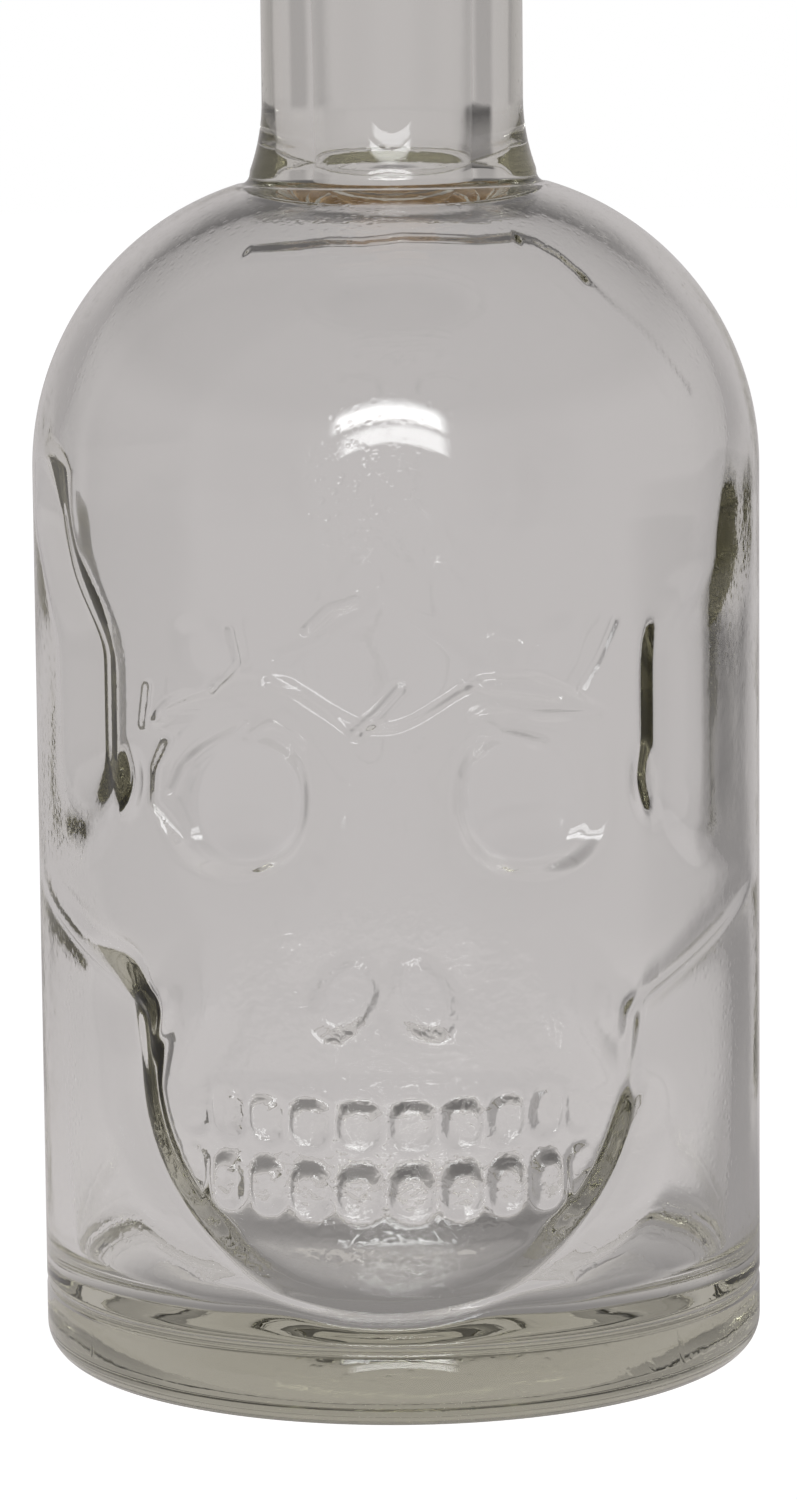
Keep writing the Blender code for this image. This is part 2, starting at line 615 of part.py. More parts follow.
def head_profile():
    """The wooden head, with its seat at height 0 and the recess for the shank in its underside."""
    recess_radius = bore_radius_at(BOTTLE_HEIGHT - STOPPER_SHANK_LENGTH) - SHANK_CLEARANCE + GLUE_GAP
    foot = SEAT_GAP
    top = foot + STOPPER_HEAD_HEIGHT
    chamfer = STOPPER_HEAD_CHAMFER
    top_edge = arc((STOPPER_HEAD_RADIUS - chamfer, top - chamfer), chamfer, math.pi / 2, 0.0, 4)
    foot_edge = arc((STOPPER_HEAD_RADIUS - chamfer, foot + chamfer), chamfer, 0.0, -math.pi / 2, 4)
    return joined(
        [(0.0, top)],
        top_edge,
        foot_edge,
        [(recess_radius, foot), (recess_radius, STOPPER_RECESS_DEPTH), (0.0, STOPPER_RECESS_DEPTH)],
    )


def make_stopper(collection, parent):
    """The bar top stopper: a wooden head with a cork shank glued up into it."""
    axis = bpy.data.objects.new("stopper_axis", None)
    axis.location = (0.0, 0.0, BOTTLE_HEIGHT)
    axis.parent = parent
    collection.objects.link(axis)
    head = turned("stopper_head", head_profile())
    shank = turned("stopper_cork", shank_profile())
    place(head, collection, axis, turned_wood())
    place(shank, collection, axis, natural_cork())
    return axis


def clear_objects():
    """Removes what the scene already holds."""
    for old in list(bpy.data.objects):
        bpy.data.objects.remove(old, do_unlink=True)


def main():
    """Builds the decanter in its own collection, and its cutter in another."""
    clear_objects()
    parts = bpy.data.collections.new(OBJECT_NAME)
    cutters = bpy.data.collections.new("cutters")
    bpy.context.scene.collection.children.link(parts)
    bpy.context.scene.collection.children.link(cutters)
    root = bpy.data.objects.new(OBJECT_NAME + "_axis", None)
    parts.objects.link(root)
    make_bottle(parts, cutters, root)
    make_stopper(parts, root)


main()
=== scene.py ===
"""Skull decanter: a round glass bottle with a skull moulded into its front, and a bar top stopper.

Metres, +Z up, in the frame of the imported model: the base stands on Z = 0, the bottle's axis is the
Z axis and the skull looks along -Y.
"""

import logging
import math
from dataclasses import dataclass, fields, replace
from enum import Enum

import bmesh
import bpy
import numpy as np
from bpy.types import Material, Node, NodeInputs, NodeOutputs, NodeSocket as Socket, NodeTree, Object, World
from mathutils import Matrix, Vector


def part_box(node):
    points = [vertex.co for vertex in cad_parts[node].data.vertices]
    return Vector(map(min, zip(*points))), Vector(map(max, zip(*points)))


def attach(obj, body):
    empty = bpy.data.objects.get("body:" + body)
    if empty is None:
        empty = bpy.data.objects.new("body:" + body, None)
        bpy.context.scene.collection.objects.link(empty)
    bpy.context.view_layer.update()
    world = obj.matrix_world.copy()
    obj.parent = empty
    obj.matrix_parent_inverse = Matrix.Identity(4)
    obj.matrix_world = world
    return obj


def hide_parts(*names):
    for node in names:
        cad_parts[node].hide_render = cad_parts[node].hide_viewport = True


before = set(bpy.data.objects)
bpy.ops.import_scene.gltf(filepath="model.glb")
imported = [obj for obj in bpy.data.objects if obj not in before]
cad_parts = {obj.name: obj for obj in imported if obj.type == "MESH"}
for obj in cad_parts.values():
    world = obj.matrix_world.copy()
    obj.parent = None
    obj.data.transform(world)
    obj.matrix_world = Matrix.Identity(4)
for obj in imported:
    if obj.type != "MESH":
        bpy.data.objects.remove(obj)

MM = 0.001
WELD_DISTANCE = 0.00001
ROW_SLACK = 0.001  # How much of a row a run may be over, so that rounding adds no row.
WHITE = (1.0, 1.0, 1.0)
LOG = logging.getLogger("skull_decanter")

Pair = tuple[float, float]
Triple = tuple[float, float, float]
Profile = list[Pair]
Array = np.ndarray


class Slot(Enum):
    """The record's material slots."""

    GLASS = "clear_glass"
    WOOD = "turned_wood"
    CORK = "natural_cork"


class Body(Enum):
    """The bodies that pieces ride on."""

    BOTTLE = "bottle"
    STOPPER = "stopper"


def smooth(value: Array | float) -> Array:
    """An even S shaped step from 0 to 1 as value goes from 0 to 1."""
    held = np.clip(value, 0.0, 1.0)
    return held * held * (3.0 - 2.0 * held)


def between(first: Array | float, last: Array | float, share: Array) -> Array:
    """What lies a share of the way from first to last."""
    return first + (last - first) * share


@dataclass(frozen=True)
class Places:
    """Places on the bottle's wall, and how much the glass rounds the mould's edges off there.

    around is the distance round the wall from the face's centre line, signed, and up the height.
    """

    around: Array
    up: Array
    soft: float

    @property
    def across(self) -> Array:
        """Distance from the face's centre line, to either side."""
        return np.abs(self.around)

    def step(self, value: Array, width: Array | float) -> Array:
        """A smooth step from 0 to 1 over width from where value is 0, widened by the glass."""
        return smooth((value + self.soft / 2) / (width + self.soft))


@dataclass(frozen=True)
class Dent:
    """A rounded hollow pressed into the wall.

    Its place and its half sizes are (distance round the wall from the face's centre line, height).
    wall_share is the share of its least half size that its sloping wall takes, power squares its
    outline off, and lean shifts it sideways as it rises.
    """

    centre: Pair
    half_size: Pair
    depth: float
    wall_share: float = 1.0
    power: float = 2.0
    lean: float = 0.0

    def pressed(self, at: Places) -> Array:
        """How deep the hollow is.

        Args:
            at: The places.

        Returns:
            The depth at each place, all of it on the hollow's floor and none outside its rim.
        """
        shift = self.lean * (at.up - self.centre[1])
        side = (at.across - self.centre[0] - shift) / (self.half_size[0] + at.soft / 2)
        rise = (at.up - self.centre[1]) / (self.half_size[1] + at.soft / 2)
        reach = (np.abs(side) ** self.power + np.abs(rise) ** self.power) ** (1.0 / self.power)
        least = min(self.half_size)
        wall = min(1.0, (self.wall_share * least + at.soft) / (least + at.soft / 2))
        return self.depth * least / (least + at.soft / 2) * smooth((1.0 - reach) / wall)


class Together:
    """The base of forms whose fields are forms too, and whose depth is the sum of theirs."""

    def pressed(self, at: Places) -> Array:
        """How deep the forms are together at each place."""
        return sum(getattr(self, part.name).pressed(at) for part in fields(self))


@dataclass(frozen=True)
class TemplePocket:
    """The hollow beside the cranium, between its side, the cheekbone and the plain wall."""

    depth: float = 1.0 * MM
    low_edge: float = 32.3 * MM
    high_edge: float = 39.0 * MM
    spread_start: float = 85.0 * MM
    spread_height: float = 11.0 * MM
    crown_lean: float = 0.25
    narrow_wall: float = 5.0 * MM
    wide_wall: float = 7.0 * MM
    outer_low: float = 35.0 * MM
    outer_high: float = 41.2 * MM
    outer_wall: float = 17.0 * MM
    top_start: float = 99.0 * MM
    top_height: float = 14.0 * MM
    floor_inner: float = 65.0 * MM
    floor_outer: float = 59.5 * MM
    floor_run: float = 6.0 * MM
    pit: Dent = Dent((31.6 * MM, 71.2 * MM), (2.6 * MM, 5.2 * MM), 1.4 * MM, lean=-0.14)

    def pressed(self, at: Places) -> Array:
        """How deep the pocket is.

        Args:
            at: The places.

        Returns:
            The depth at each place.
        """
        rise = smooth((at.up - self.spread_start) / self.spread_height)
        crown = self.crown_lean * np.maximum(at.up - self.spread_start - self.spread_height, 0.0)
        edge = between(self.low_edge, self.high_edge, rise) + crown
        inner = at.step(at.across - edge, between(self.narrow_wall, self.wide_wall, rise))
        outer_edge = between(self.outer_low, self.outer_high, rise)
        outer = 1.0 - at.step(at.across - outer_edge, self.outer_wall)
        top = 1.0 - at.step(at.up - self.top_start, self.top_height)
        slant = smooth((at.across - self.low_edge) / (self.outer_high - self.low_edge))
        floor = between(self.floor_inner, self.floor_outer, slant)
        bottom = at.step(at.up - floor, self.floor_run)
        return self.depth * inner * outer * top * bottom + self.pit.pressed(at)


@dataclass(frozen=True)
class Cheekbone:
    """The undercut below the cheekbone, deep beside the jaw and shallow round the side."""

    inner: Pair = (31.6 * MM, 48.0 * MM)
    outer: Pair = (49.5 * MM, 55.3 * MM)
    end: float = 60.0 * MM
    edge: float = 3.0 * MM
    depth: float = 1.5 * MM
    outer_depth: float = 0.7 * MM
    run: float = 7.0 * MM
    run_limits: Pair = (-0.3, 1.4)
    cheek: Dent = Dent((22.8 * MM, 46.5 * MM), (6.6 * MM, 9.5 * MM), 1.9 * MM, lean=-0.30)

    def lower_edge(self, across: Array) -> Array:
        """Height of the cheekbone's lower edge, which levels off beyond its ends."""
        run = (across - self.inner[0]) / (self.outer[0] - self.inner[0])
        return between(self.inner[1], self.outer[1], np.clip(run, *self.run_limits))

    def pressed(self, at: Places) -> Array:
        """How deep the undercut is.

        Args:
            at: The places.

        Returns:
            The depth at each place.
        """
        below = self.lower_edge(at.across) - at.up
        share = smooth((at.across - self.inner[0]) / (self.outer[0] - self.inner[0]))
        climb = 1.0 - smooth((below - self.edge) / (self.run + at.soft / 2))
        inside = at.step(at.across - self.inner[0] + self.edge, self.edge)
        outside = 1.0 - smooth((at.across - self.outer[0]) / (self.end - self.outer[0]))
        depth = between(self.depth, self.outer_depth, share)
        return depth * at.step(below, self.edge) * climb * inside * outside


@dataclass(frozen=True)
class Jaw:
    """The jaw's outline and the groove round it, from under the cheekbone to below the chin."""

    half_width: float = 30.1 * MM
    drop: float = 22.8 * MM
    centre_height: float = 38.0 * MM
    power: float = 1.8
    least_reach: float = 0.05
    groove_depth: float = 2.05 * MM
    side_wall: float = 3.7 * MM
    chin_wall: float = 4.0 * MM
    chin_power: int = 3
    side_run: float = 28.0 * MM
    chin_run: float = 2.2 * MM
    run_spread: float = 1.45
    face_depth: float = 0.5 * MM
    flank_depth: float = 0.5 * MM
    face_fade: float = 16.0 * MM
    pit: Dent = Dent((29.0 * MM, 45.4 * MM), (3.0 * MM, 4.2 * MM), 1.4 * MM, lean=-0.35)

    def beyond(self, at: Places) -> tuple[Array, Array]:
        """How far outside the jaw's outline each place is.

        Args:
            at: The places.

        Returns:
            The distance, negative inside the outline, and the share of it that points down.
        """
        drop = np.maximum(self.centre_height - at.up, 0.0)
        side = (at.across / self.half_width) ** self.power
        fall = (drop / self.drop) ** self.power
        reach = np.maximum((side + fall) ** (1.0 / self.power), self.least_reach)
        span = np.hypot(at.across, drop)
        return span * (1.0 - 1.0 / reach), drop / np.maximum(span, WELD_DISTANCE)

    def fall(self, at: Places) -> tuple[Array, Array]:
        """How far the groove's wall has fallen, from 0 to 1, and how far it has climbed again.

        Args:
            at: The places.

        Returns:
            The share of the fall and the share of the climb at each place.
        """
        distance, share = self.beyond(at)
        wall = between(self.side_wall, self.chin_wall, share**self.chin_power)
        run = between(self.chin_run, self.side_run, smooth(self.run_spread * (1.0 - share)))
        return at.step(distance, wall), smooth((distance - wall) / (run + at.soft / 2))

    def groove(self, at: Places) -> Array:
        """How deep the groove round the jaw is, before the cheekbone closes it."""
        fall, climb = self.fall(at)
        return self.groove_depth * fall * (1.0 - climb)

    def face(self, at: Places) -> Array:
        """How far the jaw's front lies below the plain wall.

        Args:
            at: The places.

        Returns:
            The depth at each place.
        """
        below_cheek = 1.0 - smooth((at.up - self.centre_height) / self.face_fade)
        flank = self.flank_depth * (at.across / self.half_width) ** 2
        return (1.0 - self.fall(at)[0]) * below_cheek * (self.face_depth + flank)


@dataclass(frozen=True)
class Teeth:
    """Two rows of teeth that stand out of the gums."""

    bite_height: float = 30.7 * MM
    bite_rise: float = 1.6 * MM
    half_width: float = 25.5 * MM
    bite_gap: float = 1.3 * MM
    gum_depth: float = 1.4 * MM
    gum_reach: float = 1.35
    gum_wall_share: float = 0.35
    gum_power: float = 4.0
    upper_height: float = 6.0 * MM
    lower_height: float = 6.8 * MM
    proud: float = 1.2 * MM
    power: float = 2.6
    fill: float = 0.93
    wall_share: float = 0.38
    first_pitch: float = 6.1 * MM
    pitch_step: float = 0.55 * MM
    count: int = 5

    def pressed(self, at: Places) -> Array:
        """How deep the gums and the gaps between the teeth are.

        Args:
            at: The places.

        Returns:
            The depth at each place.
        """
        bite = self.bite_height + self.bite_rise * (at.across / self.half_width) ** 2
        proud = np.zeros_like(at.up)
        edge = 0.0
        for index in range(self.count):
            pitch = self.first_pitch - self.pitch_step * index
            for height, side in ((self.upper_height, 1.0), (self.lower_height, -1.0)):
                middle = bite + side * (self.bite_gap + height) / 2
                half_size = (pitch * self.fill / 2, height / 2)
                tooth = Dent((edge + pitch / 2, 0.0), half_size, self.proud, self.wall_share, self.power)
                proud = np.maximum(proud, tooth.pressed(replace(at, up=at.up - middle)))
            edge += pitch
        half_size = (self.half_width, self.gum_reach * (self.upper_height + self.bite_gap))
        gums = Dent((0.0, self.bite_height), half_size, self.gum_depth, self.gum_wall_share, self.gum_power)
        return np.maximum(gums.pressed(at) - proud, 0.0)


@dataclass(frozen=True)
class Brow:
    """The forehead above the brows, the frown between them and the dents at their ends."""

    foot: float = 78.2 * MM
    rise: float = 5.6 * MM
    rise_run: float = 13.5 * MM
    fall: float = 5.2 * MM
    fall_start: float = 15.0 * MM
    fall_run: float = 15.5 * MM
    edge: float = 1.1 * MM
    depth: float = 0.55 * MM
    fade: float = 10.0 * MM
    frown_depth: float = 0.75 * MM
    frown_top: float = 94.5 * MM
    frown_slope: float = 0.68
    frown_edge: float = 2.0 * MM
    frown_side: float = 9.5 * MM
    frown_side_run: float = 4.0 * MM
    end: float = 31.0 * MM
    end_fade: float = 8.0 * MM
    temple: Dent = Dent((21.0 * MM, 86.6 * MM), (4.3 * MM, 4.6 * MM), 0.65 * MM, 0.5, 2.4, 0.15)

    def line(self, across: Array) -> Array:
        """Height of the upper edge of the brow."""
        rise = self.rise * smooth(across / self.rise_run)
        return self.foot + rise - self.fall * smooth((across - self.fall_start) / self.fall_run)

    def pressed(self, at: Places) -> Array:
        """How deep the forehead lies.

        Args:
            at: The places.

        Returns:
            The depth at each place.
        """
        above = at.up - self.line(at.across)
        lip = at.step(above, self.edge)
        ends = 1.0 - smooth((at.across - self.end + self.end_fade) / self.end_fade)
        hollow = lip * (1.0 - smooth(above / self.fade)) * ends
        roof = self.frown_top - self.frown_slope * at.across
        under = at.step(roof - at.up, self.frown_edge)
        side = 1.0 - smooth((at.across - self.frown_side) / self.frown_side_run)
        frown = lip * under * side
        return self.depth * hollow + self.frown_depth * frown + self.temple.pressed(at)


@dataclass(frozen=True)
class Orbit(Together):
    """An eye socket: the hollow under the brow with a deeper bowl in it."""

    lid: Dent = Dent((17.8 * MM, 71.3 * MM), (10.3 * MM, 9.5 * MM), 0.8 * MM, 0.16, 2.6)
    bowl: Dent = Dent((16.9 * MM, 70.0 * MM), (9.3 * MM, 8.9 * MM), 2.0 * MM, 0.32, 2.1, -0.10)


@dataclass(frozen=True)
class Nose(Together):
    """The root of the nose, the slopes beside its bridge and the two lobes of its opening."""

    root: Dent = Dent((0.0, 74.0 * MM), (8.0 * MM, 5.6 * MM), 0.45 * MM)
    side: Dent = Dent((8.6 * MM, 57.5 * MM), (4.6 * MM, 8.5 * MM), 0.9 * MM)
    lobe: Dent = Dent((4.5 * MM, 48.8 * MM), (4.3 * MM, 5.2 * MM), 1.6 * MM, 0.42, 2.0, -0.28)


@dataclass(frozen=True)
class Crease:
    """A narrow fold in the glass along a line of places.

    Each place is (distance round the wall from the face's centre line, height), in millimetres.
    """

    line: tuple[Pair, ...]
    half_width: float = 0.85 * MM
    depth: float = 0.5 * MM

    def pressed(self, at: Places) -> Array:
        """How deep the fold is.

        Args:
            at: The places.

        Returns:
            The depth at each place.
        """
        nearest = np.full_like(at.up, self.half_width)
        places = np.array(self.line) * MM
        for first, step in zip(places, np.diff(places, axis=0)):
            right, rise = at.around - first[0], at.up - first[1]
            held = np.clip((right * step[0] + rise * step[1]) / (step @ step), 0.0, 1.0)
            nearest = np.minimum(nearest, np.hypot(right - held * step[0], rise - held * step[1]))
        return self.depth * smooth(1.0 - nearest / self.half_width)


@dataclass(frozen=True)
class Creases(Together):
    """The folds that the mould's sharp edges and the cooling glass left round the eyes and brow."""

    left_brow: Crease = Crease(((-27.8, 79.0), (-25.7, 80.8), (-23.0, 81.8), (-19.7, 82.7)))
    left_brow_foot: Crease = Crease(((-28.1, 78.8), (-22.4, 79.8), (-17.6, 80.7), (-15.5, 80.6)))
    left_crescent: Crease = Crease(
        ((-19.7, 82.7), (-18.1, 84.3), (-16.6, 85.7), (-17.3, 89.4)), 0.8 * MM, 0.75 * MM
    )
    left_lid: Crease = Crease(((-25.9, 70.7), (-24.4, 73.7), (-21.8, 75.7), (-18.6, 77.3), (-15.9, 79.0)))
    left_inner_lid: Crease = Crease(((-15.3, 77.9), (-12.5, 79.2), (-9.8, 78.0), (-8.7, 77.0)))
    left_socket: Crease = Crease(
        ((-28.5, 82.5), (-29.2, 78.1), (-25.7, 76.8), (-27.6, 73.4), (-27.9, 69.6), (-24.6, 65.5))
    )
    frown: Crease = Crease(((-12.7, 83.8), (-9.2, 82.6), (-6.0, 80.6), (-2.8, 78.3)), 0.7 * MM, 0.6 * MM)
    frown_right: Crease = Crease(((-2.8, 78.3), (-0.4, 80.2), (2.2, 83.0)), 1.1 * MM, 1.1 * MM)
    streak: Crease = Crease(((-12.0, 86.5), (-6.2, 88.9)), 0.7 * MM, 0.35 * MM)
    forehead_mark: Crease = Crease(((-8.1, 89.7), (-5.7, 91.9), (-2.7, 92.9)), 1.1 * MM, 1.0 * MM)
    right_mark: Crease = Crease(((12.0, 88.3), (13.8, 88.9), (15.6, 88.3)))
    right_brow: Crease = Crease(((9.5, 83.5), (14.4, 82.8), (20.1, 81.8)))
    right_brow_foot: Crease = Crease(((10.0, 80.2), (11.9, 81.1), (15.0, 80.7), (18.1, 79.8), (25.0, 79.4)))
    right_end: Crease = Crease(((23.2, 82.2), (25.1, 85.2), (27.4, 89.6)))
    right_lid: Crease = Crease(((11.1, 79.4), (13.8, 77.9), (19.0, 76.3)))
    shoulder: Crease = Crease(
        (
            (-22.0, 129.9), (-14.0, 130.3), (-9.0, 130.7), (-3.0, 130.7),
            (3.0, 131.1), (9.0, 131.0), (16.0, 130.7), (23.0, 130.9),
        ),
        0.9 * MM,
        0.42 * MM,
    )
    shoulder_bend: Crease = Crease(
        ((23.0, 130.9), (26.0, 130.3), (28.5, 128.9), (30.5, 126.6)), 1.1 * MM, 0.45 * MM
    )
    shoulder_end: Crease = Crease(
        ((30.5, 126.6), (33.0, 123.6), (36.5, 120.4), (41.0, 114.0)), 1.2 * MM, 0.22 * MM
    )


@dataclass(frozen=True)
class SkullRelief:
    """The skull in the bottle's front, as a depth below the plain wall."""

    temple: TemplePocket = TemplePocket()
    cheekbone: Cheekbone = Cheekbone()
    jaw: Jaw = Jaw()
    teeth: Teeth = Teeth()
    brow: Brow = Brow()
    orbit: Orbit = Orbit()
    nose: Nose = Nose()
    creases: Creases = Creases()
    foot_height: float = 9.6 * MM
    foot_fade: float = 1.6 * MM

    def depth(self, at: Places) -> Array:
        """How deep the skull's surface lies below the plain wall.

        Args:
            at: The places.

        Returns:
            The depth at each place, in metres.
        """
        below_cheekbone = smooth((self.cheekbone.lower_edge(at.across) - at.up) / self.cheekbone.edge)
        groove = self.jaw.groove(at) * below_cheekbone + self.jaw.pit.pressed(at)
        edge = np.maximum(np.maximum(self.temple.pressed(at), groove), self.cheekbone.pressed(at))
        parts = (self.cheekbone.cheek, self.teeth, self.brow, self.orbit, self.nose, self.creases)
        whole = edge + self.jaw.face(at) + sum(part.pressed(at) for part in parts)
        return whole * smooth((at.up - self.foot_height) / self.foot_fade)


def ridge(distance: Array, side: Array | float, back: float) -> Array:
    """A ridge that rises over side from where distance is 0 and then falls over back."""
    return smooth(distance / side) * (1.0 - smooth((distance - side) / back))


@dataclass(frozen=True)
class JawSwell:
    """Thicker glass that gathered round the jaw as the bottle was blown, more on one side.

    It lies on the inner surface alone. Its steep side faces the skull's middle, and there the
    glass turns the light round inside itself, which is seen as a dark olive band.
    """

    height: float = 2.0 * MM
    start: float = 0.2 * MM
    side: float = 3.4 * MM
    spread: float = 2.6 * MM
    spread_from: float = 38.0 * MM
    back: float = 9.0 * MM
    top: float = 54.0 * MM
    weak_top: float = 38.0 * MM
    fade: float = 8.0 * MM

    def thickness(self, jaw: Jaw, at: Places) -> Array:
        """How much thicker the glass is. The swell ends lower on its weaker side.

        Args:
            jaw: The jaw that it lies round.
            at: The places.

        Returns:
            What is added to the glass at each place.
        """
        side = self.side + self.spread * smooth((at.up - self.spread_from) / self.fade)
        top = np.where(at.around < 0.0, self.top, self.weak_top)
        held = 1.0 - smooth((at.up - top + self.fade) / self.fade)
        return self.height * held * ridge(jaw.beyond(at)[0] - self.start, side, self.back)


@dataclass(frozen=True)
class TempleSwell:
    """Thicker glass beside the cranium, on the inner surface and on one side of the face."""

    towards: float = -1.0
    height: float = 3.0 * MM
    low_start: float = 34.3 * MM
    high_start: float = 44.7 * MM
    lean_from: float = 84.0 * MM
    lean_height: float = 17.0 * MM
    side: float = 6.6 * MM
    back: float = 9.0 * MM
    low: float = 66.0 * MM
    high: float = 108.0 * MM
    fade: float = 8.0 * MM

    def thickness(self, at: Places) -> Array:
        """How much thicker the glass is.

        Args:
            at: The places.

        Returns:
            What is added to the glass at each place.
        """
        lean = smooth((at.up - self.lean_from) / self.lean_height)
        start = between(self.low_start, self.high_start, lean)
        low = smooth((at.up - self.low) / self.fade)
        high = 1.0 - smooth((at.up - self.high + self.fade) / self.fade)
        return self.height * low * high * ridge(self.towards * at.around - start, self.side, self.back)


@dataclass(frozen=True)
class Swells:
    """All the places where the blown glass is thicker than elsewhere."""

    jaw: JawSwell = JawSwell()
    left_temple: TempleSwell = TempleSwell()
    right_temple: TempleSwell = TempleSwell(
        1.0, 1.3 * MM, 32.8 * MM, 35.0 * MM, side=2.3 * MM, low=64.0 * MM, high=92.0 * MM
    )

    def thickness(self, relief: SkullRelief, at: Places) -> Array:
        """How much thicker the glass is at each place."""
        temples = self.left_temple.thickness(at) + self.right_temple.thickness(at)
        return temples + self.jaw.thickness(relief.jaw, at)


@dataclass(frozen=True)
class ReliefSheet:
    """The relief on an even sheet of places, blurred as the inner surface of blown glass follows it.

    window_reaches is how far a blur's window goes, and last_cell keeps a place off the last row.
    """

    relief: SkullRelief = SkullRelief()
    swells: Swells = Swells()
    pitch: float = 0.5 * MM
    half_width: float = 75.0 * MM
    top: float = 125.0 * MM
    blur: float = 3.4 * MM
    last_blur: float = 0.7 * MM
    window_reaches: int = 3
    last_cell: float = 1.001
    wall: float = 3.2 * MM
    least_wall: float = 1.5 * MM

    def blurred(self, sheet: Array, reach: float) -> Array:
        """The sheet blurred by a bell shaped window that is reach wide.

        Args:
            sheet: The sheet.
            reach: How far the blur reaches, in metres.

        Returns:
            The blurred sheet.
        """
        half = math.ceil(self.window_reaches * reach / self.pitch)
        window = np.exp(-0.5 * (np.arange(-half, half + 1) * self.pitch / reach) ** 2)
        window /= window.sum()
        for axis in (0, 1):
            sheet = np.apply_along_axis(np.convolve, axis, sheet, window, mode="same")
        return sheet

    def sampled(self, sheet: Array, at: Places) -> Array:
        """What the sheet holds at places that lie between its rows and columns.

        Args:
            sheet: The sheet.
            at: The places.

        Returns:
            The sheet's value at each place.
        """
        spots = (at.up / self.pitch, (at.around + self.half_width) / self.pitch)
        row, column = (np.clip(spot, 0, size - self.last_cell) for spot, size in zip(spots, sheet.shape))
        low, left = row.astype(int), column.astype(int)
        lower = between(sheet[low, left], sheet[low, left + 1], column - left)
        upper = between(sheet[low + 1, left], sheet[low + 1, left + 1], column - left)
        return between(lower, upper, row - low)

    def inner_depth(self, at: Places) -> Array:
        """How deep the inner surface follows the skull, read from the sheet.

        Args:
            at: The places.

        Returns:
            The depth at each place, in metres.
        """
        rows = np.arange(0.0, self.top, self.pitch)
        columns = np.arange(-self.half_width, self.half_width + self.pitch, self.pitch)
        grid = Places(*np.meshgrid(columns, rows), at.soft)
        outer = self.relief.depth(grid)
        followed = self.blurred(outer - self.relief.temple.pressed(grid), self.blur)
        followed = np.maximum(followed, outer - (self.wall - self.least_wall))
        swollen = followed + self.swells.thickness(self.relief, grid)
        return self.sampled(self.blurred(swollen, self.last_blur), at)


def arc(centre: Pair, radius: float, start: float, end: float, steps: int) -> Profile:
    """Points on an arc of a profile, angles measured from outwards towards up."""
    angles = np.linspace(start, end, steps + 1)
    return [(centre[0] + radius * math.cos(a), centre[1] + radius * math.sin(a)) for a in angles]


def bend(start: Pair, corner: Pair, end: Pair, steps: int) -> Profile:
    """Points on a smooth bend of a profile, from start to end, drawn towards corner.

    Args:
        start: Where the bend starts.
        corner: The corner that it rounds off.
        end: Where it ends.
        steps: How many steps it has.

    Returns:
        The bend's points, with both ends.
    """
    points = []
    for t in np.linspace(0.0, 1.0, steps + 1):
        shares = ((1 - t) ** 2, 2 * t * (1 - t), t**2)
        pulls = list(zip(shares, (start, corner, end)))
        points.append(tuple(sum(share * place[i] for share, place in pulls) for i in (0, 1)))
    return points


def straight(start: Pair, end: Pair, row: float) -> Profile:
    """Points on a straight run of a profile, no further apart than row."""
    steps = max(1, math.ceil(math.dist(start, end) / row - ROW_SLACK))
    return [tuple(start[i] + (end[i] - start[i]) * k / steps for i in (0, 1)) for k in range(steps + 1)]


def joined(*runs: Profile) -> Profile:
    """One profile from its runs, without the points that two runs share.

    Args:
        runs: The runs, in order.

    Returns:
        The profile.
    """
    points: Profile = []
    for run in runs:
        for point in run:
            if not points or math.dist(points[-1], point) > WELD_DISTANCE:
                points.append(point)
    return points


def fresh_mesh(name: str, points: Array, quads: Array) -> Object:
    """An object from points and quads, with its doubled points welded and its faces pointing out.

    Args:
        name: The object's name.
        points: One row of x, y, z for each point.
        quads: One row of four point numbers for each face.

    Returns:
        The object, linked to the scene and shaded smooth.
    """
    mesh = bpy.data.meshes.new(name)
    mesh.from_pydata(points.tolist(), [], quads.tolist())
    form = bmesh.new()
    form.from_mesh(mesh)
    bmesh.ops.remove_doubles(form, verts=form.verts, dist=WELD_DISTANCE)
    bmesh.ops.dissolve_degenerate(form, edges=form.edges, dist=WELD_DISTANCE / 10)
    bmesh.ops.recalc_face_normals(form, faces=form.faces)
    form.to_mesh(mesh)
    form.free()
    mesh.shade_smooth()
    piece = bpy.data.objects.new(name, mesh)
    bpy.context.scene.collection.objects.link(piece)
    return piece


def wrapped_quads(row_count: int, column_count: int) -> Array:
    """Faces of a grid of rows whose columns run right round and meet.

    Args:
        row_count: How many rows of points there are.
        column_count: How many columns there are.

    Returns:
        One row of four point numbers for each face.
    """
    rows = np.arange(row_count - 1)[:, None] * column_count
    columns = np.arange(column_count)[None, :]
    after = (columns + 1) % column_count
    corners = (rows + columns, rows + after, rows + column_count + after, rows + column_count + columns)
    return np.stack(corners, axis=-1).reshape(-1, 4)


